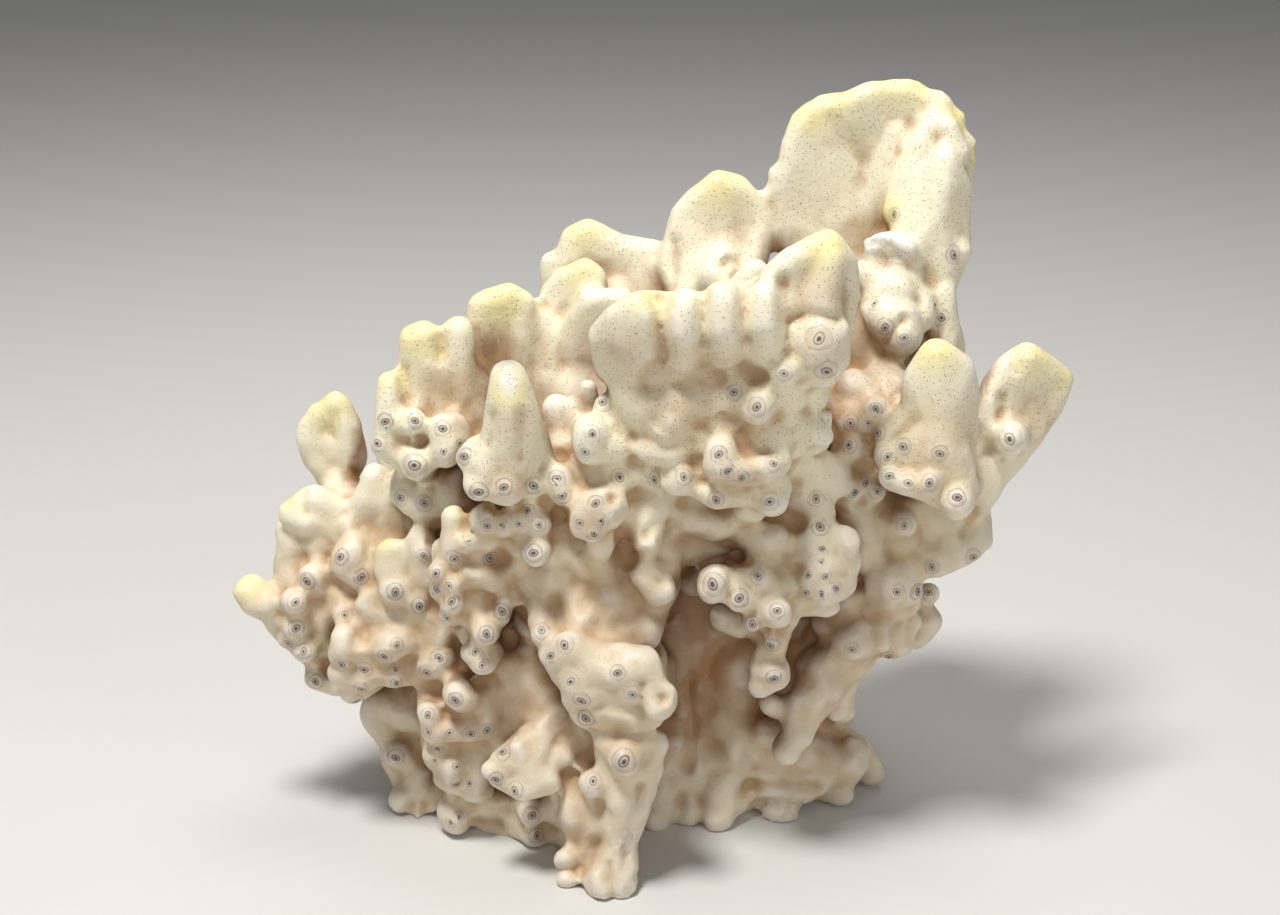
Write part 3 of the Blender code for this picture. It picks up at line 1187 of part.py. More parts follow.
def floor_cutter():
    """A block under the colony, which saws its foot flat at height 0."""
    form = bmesh.new()
    bmesh.ops.create_cube(form, size=1.0)
    bmesh.ops.scale(form, verts=form.verts[:], vec=(400.0, 400.0, FLOOR_CUT_DEPTH))
    bmesh.ops.translate(form, verts=form.verts[:], vec=(0.0, 0.0, -FLOOR_CUT_DEPTH / 2))
    mesh = bpy.data.meshes.new("floor_room")
    form.to_mesh(mesh)
    form.free()
    block = bpy.data.objects.new("floor_room", mesh)
    cutters.objects.link(block)
    block.hide_render = True
    block.display_type = "WIRE"
    return block


for old_object in list(bpy.data.objects):
    bpy.data.objects.remove(old_object)

colony = bpy.data.collections.new("fire_coral")
bpy.context.scene.collection.children.link(colony)
cutters = bpy.data.collections.new("cutters")
bpy.context.scene.collection.children.link(cutters)

floor = floor_cutter()
forks = []
rooms = []
for fork_name, fork_parts in FORKS.items():
    fork_colour, fork_faces = FINISH[fork_name]
    fork_links = [balls for part in fork_parts for balls in part]
    fork = grown(fork_name, fork_links, fork_faces)
    fork.data.materials.append(skeleton_material(fork_name, fork_colour))
    own_rooms = [swollen(fork, GAP), swollen(fork, HAIR)]
    if boxes_meet(fork, floor):
        cut(fork, floor)
    for neighbour in rooms:
        if boxes_meet(fork, neighbour):
            cut(fork, neighbour)
    rooms.extend(own_rooms)
    forks.append(fork)

for fork in forks:
    settled(fork)
    chips = drop_chips(fork)
    print(fork.name, "triangles", sum(len(f.vertices) - 2 for f in fork.data.polygons), "chips", chips)
    fork.data.transform(Matrix.Scale(MM, 4))

for room in list(cutters.objects):
    bpy.data.objects.remove(room)
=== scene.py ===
"""A dried colony of fire coral on a pale floor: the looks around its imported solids.

The colony is one grown piece, so one closed skin stands for all its forks. It is woven
over chains and plates of balls, worn smooth and warted with barnacles. Lengths are
millimetres until the mesh is done.
"""

import logging
import math
import random
from dataclasses import dataclass, field, replace
from enum import Enum
from typing import Callable, Iterable, Sequence

import bmesh
import bpy
import numpy as np
from mathutils import Matrix, Vector, noise
from mathutils.bvhtree import BVHTree
from mathutils.kdtree import KDTree


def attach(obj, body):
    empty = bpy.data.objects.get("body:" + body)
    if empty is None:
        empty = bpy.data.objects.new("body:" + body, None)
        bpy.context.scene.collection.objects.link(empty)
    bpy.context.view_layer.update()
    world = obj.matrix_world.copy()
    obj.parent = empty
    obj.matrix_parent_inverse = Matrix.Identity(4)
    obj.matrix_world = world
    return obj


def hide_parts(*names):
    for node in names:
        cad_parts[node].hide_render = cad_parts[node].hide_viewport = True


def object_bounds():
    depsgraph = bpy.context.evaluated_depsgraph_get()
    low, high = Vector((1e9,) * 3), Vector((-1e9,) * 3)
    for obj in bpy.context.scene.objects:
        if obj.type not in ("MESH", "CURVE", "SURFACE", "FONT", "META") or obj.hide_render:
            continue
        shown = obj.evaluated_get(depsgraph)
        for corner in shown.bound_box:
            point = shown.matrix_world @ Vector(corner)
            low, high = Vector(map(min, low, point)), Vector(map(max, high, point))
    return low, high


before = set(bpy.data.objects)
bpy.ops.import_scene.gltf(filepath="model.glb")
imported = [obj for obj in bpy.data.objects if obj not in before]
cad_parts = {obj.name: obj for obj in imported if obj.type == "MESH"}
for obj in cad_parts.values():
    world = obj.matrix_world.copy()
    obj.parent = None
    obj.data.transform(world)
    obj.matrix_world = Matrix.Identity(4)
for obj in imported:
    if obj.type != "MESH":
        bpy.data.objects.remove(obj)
solid_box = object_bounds()

log = logging.getLogger("fire_coral")

MM = 0.001
# The radius of a ball that the tables give without one
RIM = 3.8
# How far the skin keeps inside the top and the sides of the solids' box
HAIR = 0.02
MOST_TRIANGLES = 196_000
# A distance past all that matter here
FAR = 99.0
# exp(-HALVED) is about a half
HALVED = 0.7
# How far behind the first skin that the eye meets a point still counts as seen
IN_SIGHT = 1.5

Array = np.ndarray


@dataclass(frozen=True)
class Sight:
    """The photograph's line of sight, and the picture plane that the tables are laid out on."""

    length: float = 500.0
    picture_width: float = 320.0
    dip: float = math.radians(20.0)
    aim_height: float = 95.0
    aim_up: float = 111.9

    @property
    def forward(self) -> Vector:
        """The direction of the line of sight."""
        return Vector((0.0, math.cos(self.dip), -math.sin(self.dip)))

    @property
    def upward(self) -> Vector:
        """The picture plane's own up."""
        return Vector((0.0, math.sin(self.dip), math.cos(self.dip)))

    @property
    def aim(self) -> Vector:
        """The point in the middle of the picture."""
        return Vector((0.0, 0.0, self.aim_height))

    @property
    def eye(self) -> Vector:
        """Where the camera stands."""
        return self.aim - self.forward * self.length

    def ray(self, right: float, up: float) -> Vector:
        """The direction in which the eye sees a point of the picture plane.

        Args:
            right: how far right of the middle it is.
            up: how far above the lowest toe it is.
        """
        direction = self.forward * self.length + self.upward * (up - self.aim_up)
        direction.x = right
        return direction

    def flatten(self, places: Array) -> tuple[Array, Array]:
        """Where the eye sees each place.

        Args:
            places: one place in each row.

        Returns:
            Right and up of each place in the picture plane, and the rays from the eye to them.
        """
        rays = places - np.array(self.eye)
        ahead = rays @ np.array(self.forward)
        flat = np.stack([rays[:, 0], rays @ np.array(self.upward)], axis=1)
        flat *= (self.length / ahead)[:, None]
        flat[:, 1] += self.aim_up
        return flat, rays

    def spot(self, right: float, up: float, deep: float) -> Vector:
        """The point at a depth that the eye sees at (right, up).

        Args:
            right: how far right of the middle it appears.
            up: how far above the lowest toe it appears.
            deep: its own y coordinate.
        """
        direction = self.ray(right, up)
        return self.eye + direction * ((deep - self.eye.y) / direction.y)


SIGHT = Sight()


@dataclass(frozen=True)
class Ball:
    """One of the balls that a limb or a plate is stretched over."""

    centre: Vector
    radius: float


Link = tuple[Ball, ...]
Reader = Callable[[Sequence[float]], Ball]


def seen(ball: Sequence[float]) -> Ball:
    """A ball given as the eye sees it: right, up, deep and, unless it is RIM, radius."""
    right, up, deep = ball[:3]
    return Ball(SIGHT.spot(right, up, deep), ball[3] if len(ball) > 3 else RIM)


def placed(ball: Sequence[float]) -> Ball:
    """A ball given by plain coordinates and, unless it is RIM, radius."""
    return Ball(Vector(ball[:3]), ball[3] if len(ball) > 3 else RIM)


def limb(*balls: Sequence[float], read: Reader = seen) -> list[Link]:
    """A round limb.

    Args:
        balls: the chain of balls along it.
        read: how the balls are given.

    Returns:
        Its links, each a pair of neighbouring balls.
    """
    chain = [read(ball) for ball in balls]
    return list(zip(chain, chain[1:])) if len(chain) > 1 else [tuple(chain)]


def web(hub: Sequence[float], *rim: Sequence[float], read: Reader = seen) -> list[Link]:
    """A closed plate.

    Args:
        hub: the ball in its middle.
        rim: the balls round its edge.
        read: how the balls are given.

    Returns:
        Its wedges, each the hub and two neighbours on the rim.
    """
    centre = read(hub)
    ring = [read(ball) for ball in rim]
    return [(centre, a, b) for a, b in zip(ring, ring[1:] + ring[:1])]


def core(*balls: Sequence[float]) -> list[Link]:
    """A limb that is given by plain coordinates."""
    return limb(*balls, read=placed)


def plate(hub: Sequence[float], *rim: Sequence[float]) -> list[Link]:
    """A web that is given by plain coordinates."""
    return web(hub, *rim, read=placed)


FORKS: dict[str, list[list[Link]]] = {
    "trunk": [
        core((-38, 6, 10, 20), (-10, 4, 10, 23), (20, 8, 10, 23), (42, 14, 8, 17)),
        core((-32, 4, 42, 23), (-5, 8, 44, 22), (16, 15, 42, 23), (36, 12, 42, 20)),
        core((-38, 6, 10, 20), (-32, 4, 42, 23), (-35, 4, 70, 21), (-38, 8, 96, 14)),
        core((20, 8, 10, 22), (16, 15, 42, 23), (18, 16, 76, 23), (16, 12, 106, 20)),
        core((42, 14, 8, 16), (36, 12, 42, 20), (44, 12, 78, 20), (44, 12, 106, 18)),
        core((-35, 4, 70, 21), (-6, 4, 76, 20), (18, 16, 76, 23), (44, 12, 78, 20)),
        core((-38, 8, 96, 14), (-14, 8, 104, 17), (16, 12, 106, 20), (44, 12, 106, 18)),
        core((-14, 8, 104, 17), (-10, 14, 122, 11)),
        core((16, 12, 106, 20), (20, 18, 126, 12)),
        core((44, 12, 106, 18), (50, 16, 126, 12)),
        core((-35, 4, 70, 19), (-62, 2, 70, 11)),
        core((-30, 18, 14, 18), (0, 22, 14, 20), (28, 22, 14, 18)),
        core((-20, 20, 50, 20), (20, 26, 55, 20), (0, 24, 85, 18)),
        core((40, 22, 88, 14), (0, 24, 85, 18), (-38, 16, 84, 14)),
        # toes and broken shelf along the front of the foot
        limb((20, 22.6, -17, 4.4), (22, 31, -9, 8)),
        limb((4, 22.4, -16, 4.4), (5, 32, -8, 9)),
        limb((12, 23, -15, 3.4), (12, 31, -8, 7)),
        limb((34.8, 24, -12, 4.2), (36, 32, -3, 7)),
        limb((49.5, 28.6, -6, 4.2), (45, 33, 0, 7)),
        limb((57.8, 33.6, 4, 3.8), (54, 37.5, 2, 5.4), (46, 38, 4, 9)),
        limb((50.5, 49, -2, 3.8), (48.6, 53.5, -1, 4.4), (42, 58, 2, 9)),
        limb((53, 36.6, -4, 5.6), (49, 32, -5, 5)),
        limb((31, 43.6, -13, 3), (36, 42, -10, 5)),
        # folds in the wall of the hollow
        limb((24, 62, -2, 9), (23, 46, -5, 9), (24, 32, -7, 8)),
        limb((30, 42, -7, 8), (38, 38, -6, 8), (46, 36, -3, 7)),
        limb((31, 31, -11, 5), (40, 31, -9, 6), (46, 32, -5, 6)),
        limb((6, 30, -10, 7), (14, 32, -8, 7)),
        limb((13, 97, -26, 5), (21, 96, -26, 4.6)),
        limb((13, 90, -21, 5), (20, 92, -22, 5)),
        limb((13, 83, -13, 5), (22, 85, -14, 6)),
        # knobs low on the back
        core((-48, 26, 60, 8), (-60, 34, 62, 5.5)),
        core((-25, 32, 56, 9), (-30, 46, 64, 5.5)),
        core((5, 36, 58, 9), (4, 50, 68, 6)),
        core((30, 36, 52, 9), (38, 47, 58, 5.5)),
        core((50, 26, 58, 8), (63, 32, 62, 5.5)),
        core((-40, 24, 22, 9), (-50, 33, 22, 6)),
        core((10, 32, 20, 10), (8, 44, 20, 6.5)),
        core((38, 28, 18, 9), (48, 36, 18, 6)),
        core((-12, 36, 36, 8), (-14, 45, 40, 5)),
        core((24, 38, 34, 8), (27, 46, 38, 5)),
        core((-36, 26, 42, 8), (-42, 35, 42, 5)),
        core((-14, 32, 74, 8), (-17, 43, 80, 5), (-11, 42, 84, 4.4)),
        core((16, 36, 74, 8), (20, 47, 78, 5)),
        core((-26, 24, 98, 8), (-27, 35, 104, 5)),
        core((30, 26, 108, 8), (29, 37, 116, 5)),
        # knobs on the two sides
        core((54, 14, 56, 8), (63, 16, 58, 5)),
        core((44, 16, 30, 12), (50, 19, 33, 7)),
        core((46, 20, 12, 9), (51, 24, 12, 6)),
        core((-50, 8, 34, 9), (-60, 10, 38, 5.6)),
        core((-50, 12, 52, 9), (-61, 17, 55, 5.6)),
        core((-46, 12, 14, 9), (-55, 14, 15, 5.6)),
    ],
    "front_leg": [
        # the leg's broad head, two swellings with a crease between them
        web(
            (-6, 58.5, -42, 6.6),
            (-18, 64.5, -40, 3.9), (-10, 62.3, -41, 4.2), (0.5, 60.8, -43, 4.8), (2, 56, -44, 4.4),
            (-5, 54.5, -44, 4.6), (-14.5, 53.5, -41, 4.2), (-20, 60.5, -39, 4),
        ),
        limb((-13, 49, -41, 3.8), (-6, 47.8, -44, 4.2), (2, 47.5, -44, 3.8)),
        limb((-16, 52.5, -41, 3.8), (-13, 47.5, -40, 3.6)),
        # the knob with a hollow in its middle
        limb((5.2, 51.3, -46, 4.9), (2, 51, -40, 5)),
        web(
            (-4, 38, -43, 6),
            (-8.6, 40.6, -42, 4), (2.6, 40.2, -42, 4.2), (2, 34.4, -42, 4.2), (-6.8, 33, -43, 4.2),
        ),
        limb((-3.9, 36.2, -46.4, 4.2), (-3.5, 37, -43, 5)),
        limb((-4, 33, -43, 5), (-4.4, 22, -44, 4.5), (-5.4, 14, -45, 4.4)),
        limb((2.6, 35, -42, 3.6), (0.4, 28, -43, 3.8), (-2.2, 20, -44, 3.6), (-3.6, 13, -45, 3.6)),
        limb((-5.4, 14, -45, 4.4), (-9.4, 5.6, -48.6, 5)),
        limb((-5.4, 14, -45, 4.4), (-5.2, 5.4, -47.6, 4.4)),
        limb((-11.8, 30.6, -42.5, 3.5), (-10, 32, -36, 4.6)),
        # two little lumps beside the foot
        limb((-18.6, 11.6, -42.5, 3), (-15, 13.6, -37, 3)),
        limb((-17.8, 6.8, -44, 3), (-14.6, 9, -38, 3)),
        limb((-15, 31, -34, 5), (-14.6, 23, -37, 6), (-13.4, 15, -38, 5.4)),
        limb((-10, 26, -40, 4.6), (-10.4, 15, -41, 5)),
        limb((-12.5, 21, -36, 4.4), (-12, 12, -38, 4.2)),
        limb((-14, 18, -28, 7), (-14, 32, -28, 7), (-6, 50, -32, 9)),
        limb((-17, 41, -30, 5), (-16.4, 33, -30, 5)),
        # the smooth column above the head, and the roll down its left side
        limb((-9, 92, -23, 6.6), (-8.6, 80, -26, 7.4), (-7, 66, -33, 7)),
        limb((0, 92, -20, 6), (1, 80, -22, 6.6), (0, 68, -29, 6)),
        limb((-25, 80.5, -27, 5), (-21, 82.5, -28, 4.8), (-18.5, 80, -28, 4.4)),
        limb((-25.5, 75, -31, 3.4), (-23.5, 69.5, -35, 3.8), (-20.5, 65, -38, 4.2)),
        limb((-16, 79, -27, 6), (-15, 72, -32, 6)),
        limb((-31, 74, -12, 5), (-31, 66, -14, 5)),
        limb((-23.5, 78, -24, 6), (-20, 70, -29, 6), (-15, 64, -35, 5)),
        limb((-23.8, 68, -37, 3.2), (-21, 66, -35, 4)),
        limb((-22, 62.8, -39, 3), (-18, 62, -38, 4)),
        # two oval lumps with slit pits on the column's right side
        limb((2.2, 95.5, -31, 3.5), (1.6, 90.5, -32, 4.1)),
        limb((1.2, 83.4, -32, 3.7), (5, 79.6, -31, 4)),
        limb((4, 103.5, -27, 4.6), (3, 98, -24, 5.4)),
        limb((3, 92, -25, 6), (4, 80, -26, 6)),
        limb((-5, 99, -27, 5.6), (4, 101, -27, 5.6)),
        limb((-3, 108.6, -29.5, 4.6), (4.4, 108.6, -30, 4.6)),
        limb((-21, 96, -28, 4.6), (-20.5, 89, -28, 5), (-15, 88, -27, 5.6), (-10, 84, -27, 6)),
        limb((-5, 60, -30, 9), (-5, 58, -14, 14)),
        limb((-6, 88, -18, 10), (-6, 84, -6, 14)),
        limb((-22, 96, -20, 5.4), (-24, 84, -19, 7), (-24, 72, -18, 8)),
        limb((-29, 88, -24, 5), (-28, 79, -24, 5)),
    ],
    "left_mound": [
        # the pale knob, and the smooth column that it hangs from
        limb((-21.5, 56.5, -24, 4.4), (-20.5, 48.5, -29, 5), (-25, 42, -34, 5)),
        web(
            (-29, 36, -37, 6),
            (-28, 41.2, -36, 3.8), (-34.2, 35.8, -38.5, 3.8), (-34.6, 32.2, -38, 3.3),
            (-27.5, 30.6, -40, 4), (-23.6, 32, -39, 3.8), (-23.4, 38, -36, 4.2),
        ),
        limb((-18.6, 37, -37, 2.3), (-19.5, 42, -32, 4)),
        limb((-37, 34.2, -40, 2.4), (-33, 36, -38, 3.6)),
        limb((-30.6, 40.4, -39.5, 2.6), (-26, 29.4, -41, 2.6)),
        limb((-33, 60, -23, 5.6), (-28, 50, -24, 6.4), (-33, 42, -23, 5.4)),
        limb((-28, 62, -23, 5), (-24, 53, -27, 5)),
        limb((-46, 62, -14, 5), (-38, 57, -17, 5)),
        limb((-48, 68, -14, 5), (-46, 60, -14, 5)),
        limb((-39, 54, -23, 5), (-37, 47, -23, 5)),
        limb((-41, 38, -22, 4.8), (-41, 30, -22, 4.8)),
        limb((-21, 50, -24, 7), (-20, 50, -12, 12)),
        # the barnacled arm with a knob over it and a column under it
        limb((-52.5, 47.8, -24, 3.4), (-51.6, 44, -24, 3.7), (-45, 43.6, -25, 3.5), (-38.8, 44.8, -25, 3.7)),
        limb((-53, 52, -18, 3), (-52.5, 47.8, -22, 3.6), (-47, 46, -20, 4)),
        limb((-51, 54, -17, 4), (-46, 49, -20, 4.4), (-40, 48, -18, 5)),
        limb((-45.2, 52.4, -29, 4), (-42, 54, -18, 6)),
        limb((-50.5, 38.6, -22, 3.8), (-50, 42, -20, 4)),
        limb((-46.6, 35, -24, 3.8), (-49, 38, -18, 4.4)),
        limb((-44.2, 30.8, -23, 3.6), (-48.2, 31.4, -21, 3.4)),
        limb((-48, 42, -16, 6), (-46, 33, -18, 5), (-38, 27, -17, 6)),
        limb((-46, 22.4, -20, 4.9), (-44.5, 27, -13, 6)),
        limb((-36, 20.4, -17, 4.6), (-31, 18.8, -18, 4), (-30, 25, -18, 5)),
        # the left foot with its three toes, and the tapering flank above it
        limb((-58.6, 26.4, -9, 4.2), (-54.6, 25.4, -10, 3.8), (-55, 32, -6, 5.4)),
        limb((-59.8, 24.4, -11, 1.9), (-58.6, 28, -8, 2.8)),
        limb((-55.6, 22, -13, 2), (-55.6, 26, -10, 2.8)),
        limb((-52.2, 24.2, -12, 1.8), (-53, 28, -9, 2.8)),
        limb((-61.2, 37.4, -9, 3), (-58, 38, -4, 5)),
        limb((-57.6, 31, -4, 5), (-60.5, 41, -2, 5), (-65.5, 49, -2, 5.2)),
        # the recessed wall between this mound and the leg
        limb((-27, 23.4, -27, 3.8), (-28, 27, -20, 5)),
        limb((-26.4, 18, -26, 3.6), (-31, 23, -18, 5)),
        limb((-19, 25, -26, 6), (-12, 24, -27, 6)),
        limb((-19.5, 34, -28, 5), (-18, 27, -29, 5)),
        limb((-18, 18, -24, 4.6), (-26, 19, -20, 4.6)),
        limb((-48, 44, -12, 8), (-40, 44, 0, 14)),
        limb((-65.5, 49, -2, 5.2), (-50, 52, 2, 12)),
    ],
    "left_fork": [
        # the pointed finger and the knobs along it
        limb((-97.6, 78.2, -8, 4.6), (-93, 75.2, -8, 4.8), (-89, 70.8, -7, 4.2), (-84.6, 65.6, -6, 4)),
        limb((-86.2, 75.8, -14, 3.5), (-85, 73.4, -7, 5)),
        limb((-86.3, 69.4, -13.5, 3.2), (-84.5, 69.4, -6, 5)),
        limb((-84, 63.8, -12.5, 3.8), (-81, 64.4, -5, 5)),
        limb((-88.4, 66.4, -10.5, 2.4), (-85.5, 66, -6, 3.6)),
        limb((-85.4, 79.8, -9, 1.9), (-84.5, 77, -6, 3)),
        limb((-80.8, 57.2, -8, 3.2), (-76.4, 55.6, -8, 3.6), (-72, 60, -4, 6)),
        # the upper left lobe over its stem
        web(
            (-82, 97.4, -1, 5),
            (-86.9, 98, -3, 4.1), (-81.8, 101.2, -3, 4.4), (-77.4, 99, -3, 4.4), (-77.6, 95.2, -4, 4),
            (-83, 96.4, -5, 3.8),
        ),
        limb((-80, 91, -3.5, 4.4), (-79, 86, -2.5, 4.2), (-78, 92, 1, 5)),
        limb((-86.6, 91, -2, 4.4), (-86.8, 86, -2.5, 4.6), (-86.6, 80, -4, 5), (-86, 75, -5, 5)),
        limb((-86.4, 93, 1, 4.6), (-84, 84, 2, 5)),
        limb((-72.5, 95.4, -6, 2.6), (-72, 97, -1, 4)),
        limb((-81.3, 82.2, -10, 3.7), (-80.2, 79.6, -11, 2.7), (-79, 84, -3, 4.4)),
        # the round lobe on top, in two halves with a groove between them
        limb((-80.2, 122.4, 8.5, 3.7), (-82.2, 119, 8.5, 4), (-80.6, 113, 8.5, 4.1), (-76.6, 107, 8, 4.3)),
        limb((-76, 125.2, 9, 3.8), (-73.8, 119.6, 8.5, 3.9), (-72.2, 111.6, 8, 3.9)),
        web(
            (-77.3, 116, 9, 4.4),
            (-77.4, 124, 12, 3.8), (-81.4, 119, 12, 3.8), (-80.6, 112, 11, 3.8), (-76, 106, 9, 4),
            (-72.6, 110, 10, 3.8), (-73.4, 119, 12, 3.8),
        ),
        limb((-75.6, 107, 7, 4.6), (-72, 98, 3, 6.6), (-66, 88, 2, 9), (-60, 78, 2, 11)),
        # the smooth face below the mitten
        web(
            (-64, 99.5, -3, 5),
            (-66, 106.6, -3, 3.8), (-68.4, 101, -4, 4), (-70, 94, -4, 4), (-62, 90, -4, 5),
            (-57, 93, -4, 4.5), (-60, 101, -3, 4.5),
        ),
        web(
            (-71.6, 86.4, -10, 4.2),
            (-67.6, 89.8, -8, 3.2), (-72, 88.8, -10, 3.8), (-73.6, 84.4, -10.5, 3.6),
            (-70.2, 82.2, -11, 3.6), (-66.6, 84.4, -9, 3.8),
        ),
        limb((-70, 86, -5, 6), (-64, 86, 2, 8)),
        limb((-74.2, 77.6, -10, 3.3), (-74.2, 73.4, -13, 3.5), (-72, 80, -5, 5)),
        # the recessed face with a thin rim along its upper left edge
        limb((-70, 71.6, -15, 1.8), (-69.2, 75.4, -15.5, 1.9), (-66, 78, -15.5, 1.9), (-62.4, 77.6, -15, 2)),
        web(
            (-62, 73, -14.4, 4.6),
            (-67, 75, -14, 3.8), (-58, 76, -14.4, 4.4), (-50, 71, -16, 5), (-52, 64, -16, 5),
            (-60, 67, -15, 5), (-68, 70, -14, 4.2),
        ),
        limb((-78.6, 75, -9, 4.2), (-79, 67, -9, 4.2), (-72, 70, -3, 8)),
        # two barnacled rolls low on the left, one above the other
        limb((-74.2, 67.2, -20, 3.5), (-73.8, 63.4, -20.5, 4)),
        limb((-73.6, 64, -20, 3.9), (-68.4, 62.6, -20.5, 3.7), (-63, 64.6, -21.5, 3.9)),
        limb((-63, 64.6, -21.5, 3.9), (-59.6, 66.2, -20, 3.6)),
        limb((-73.6, 58.4, -18.5, 4), (-67, 58, -19.5, 3.8), (-61, 58, -19.5, 3.8)),
        limb((-61, 58, -19.5, 3.8), (-55.6, 58.4, -18, 3.9)),
        limb((-55.6, 58.4, -18, 3.6), (-50.8, 61, -20, 3.9), (-48, 66, -12, 6)),
        limb((-71.8, 54, -16.5, 3.6), (-66.4, 55.4, -15.5, 3.2)),
        limb((-72, 60, -14, 5.6), (-62, 61, -14.5, 5.6), (-53, 61.6, -14, 5.6)),
        limb((-66, 66, -6, 7), (-56, 70, 0, 10)),
    ],
    "knob_cluster": [
        # the small blade with a flat top
        web(
            (-60.6, 84.4, -14, 4.4),
            (-62.6, 88.4, -14, 3.5), (-58.6, 88, -14, 3.7), (-56, 82.4, -14, 3.8),
            (-55.4, 77.4, -17.5, 3.5), (-61.8, 79, -18, 3.6), (-63.2, 83.6, -15, 3.4),
        ),
        limb((-54, 87.6, -15, 2), (-53.6, 84, -15, 3)),
        limb((-54, 92, -15, 4), (-52.4, 82, -17, 4.4)),
        limb((-58, 82, -9, 5), (-50, 84, -4, 9)),
        # the finger and the roll along the top
        limb((-46.6, 97, -29, 2.9), (-47, 92, -29, 3.2), (-47, 87.6, -29, 3.6)),
        limb((-39.4, 97, -32, 3.6), (-34.6, 95.2, -33, 3.2)),
        limb((-34.6, 95.2, -33, 3.2), (-30.6, 96.4, -33.5, 3.5), (-26.2, 96, -34, 3.8)),
        limb((-42.8, 91.4, -31, 3), (-38, 93, -29, 4)),
        limb((-37, 94, -27, 5), (-28, 95, -26, 5), (-30, 94, -16, 8)),
        # the broad mass under them
        web(
            (-42, 84, -25, 5.4),
            (-43.5, 90.6, -25, 3.9), (-36.5, 90, -25, 4), (-34.4, 85, -24, 3.8), (-36, 79, -25, 4),
            (-41, 75.5, -26, 4), (-46.4, 76.5, -27, 4), (-49.6, 82, -27, 3.8), (-48.5, 88, -26, 3.6),
        ),
        limb((-42.4, 88.6, -29, 2.6), (-41.8, 83.6, -30, 3.8), (-37, 82, -28, 3.4)),
        limb((-50.6, 83.2, -31.5, 2.7), (-48, 82, -26, 4)),
        limb((-50.7, 79, -31.5, 2.7), (-48, 79, -26, 4)),
        limb((-46.8, 80, -32.5, 2.7), (-46, 80, -27, 4)),
        limb((-46.8, 75.8, -32, 2.8), (-45, 77, -26, 4)),
        limb((-47.4, 72, -31, 2.8), (-44, 73.6, -26, 4)),
        # the drooping fingers under the mass
        limb((-38.6, 68, -32, 3.8), (-40.6, 72.6, -28, 4.4), (-41, 77, -26, 5)),
        limb((-41.6, 63.4, -30, 3), (-39, 60.8, -31, 3.4), (-36.8, 63.4, -29, 3)),
        limb((-39, 60.8, -29, 3.4), (-39.6, 68, -22, 5.4)),
        limb((-34, 75.4, -29, 2.1), (-34.4, 71.8, -30, 2.1), (-37, 76, -25, 4)),
        limb((-26, 88.4, -36, 3.6), (-26.2, 92.6, -32, 4), (-32, 92, -22, 6)),
        limb((-42, 82, -18, 9), (-38, 80, -6, 14)),
    ],
    "middle_knobs": [
        # the ball with a hole in it and a nose under it
        limb((-13.4, 98.6, -36, 5.2), (-8.6, 99.8, -36, 5.6)),
        limb((-15, 95.6, -37, 3.6), (-11.4, 94.6, -37, 3.6)),
        limb((-10, 92, -34, 3.5), (-9.8, 87.4, -31, 2.9), (-9.6, 90, -26, 5)),
        limb((-20.4, 106.6, -33.5, 3.5), (-19.4, 102.4, -33.5, 3.4), (-20, 106, -26, 5)),
        limb((-23.4, 103.6, -29, 3.4), (-20, 104, -26, 5)),
        limb((-14.6, 109.6, -29, 4), (-8, 108.6, -30, 4), (-3.6, 107, -31, 3.8)),
        # the lump with two barnacles and a pale crest
        limb((-12.2, 117.8, -34.5, 4.5), (-12.6, 114, -35, 3.7), (-7.4, 115.4, -32, 5)),
        limb((-8.2, 124.4, -29, 2.9), (-7.4, 119, -30, 4.4)),
        limb((-3.6, 118.8, -28, 4.4), (-7, 114, -28, 5)),
        # the three small fingers behind
        limb((-20.8, 123.6, -16, 4), (-21, 113, -18, 4.4)),
        limb((-16.2, 124, -16, 3.7), (-16.6, 113, -18, 4.4)),
        limb((-21, 113.6, -19.6, 5), (-15, 113, -21, 5)),
        limb((-12.8, 129, -16, 2.6), (-12, 123, -15, 4)),
        limb((-12, 100, -29, 6.6), (-12, 106, -18, 9), (-14, 108, -4, 12)),
        limb((-10, 116, -25, 6), (-12, 112, -8, 10)),
        limb((-20, 117, -12, 4.4), (-16, 112, -8, 8)),
        limb((-22, 110, -20, 4.6), (-22, 116, -12, 5)),
    ],
    "mitten_blade": [
        # the outer fingers and the palm between them
        web(
            (-55.6, 137, -9, 4),
            (-57, 141.4, -9, 3.8), (-54.2, 142.4, -9, 3.7), (-53.4, 136, -9, 4.2), (-55, 128, -9, 4.4),
            (-57, 134, -9, 4),
        ),
        limb((-45.3, 143.4, -8.6, 3.8), (-45, 137, -9, 4.4), (-44, 129, -8, 5)),
        web(
            (-50.5, 129, -8, 4.8),
            (-56.8, 136, -9, 3.8), (-53.5, 136, -9.4, 4.2), (-50, 134.6, -9, 4.2), (-46, 136, -9, 4.2),
            (-41.4, 130, -7, 4.4), (-42, 121, -8, 5), (-50, 120, -10, 4.6), (-55, 127, -10, 4),
            (-57, 134, -9, 3.6),
        ),
        # the pointed finger on the left with the barnacled lumps below it
        limb((-62.8, 131, -13, 2.9), (-62.5, 126, -13.5, 3.5), (-62.4, 120.6, -14.5, 3.7)),
        limb((-62.4, 120.6, -14.5, 3.7), (-63.8, 115, -15.5, 3.7), (-62, 112.8, -16, 3.3)),
        limb((-56.8, 120.8, -18, 3.4), (-60.4, 120.6, -13, 3.8)),
        limb((-59.6, 117, -14.6, 3.8), (-52, 117, -12, 4.6)),
        limb((-46, 105, -12, 6), (-44, 98, -15, 5)),
        web(
            (-48.6, 116.4, -19, 3.8),
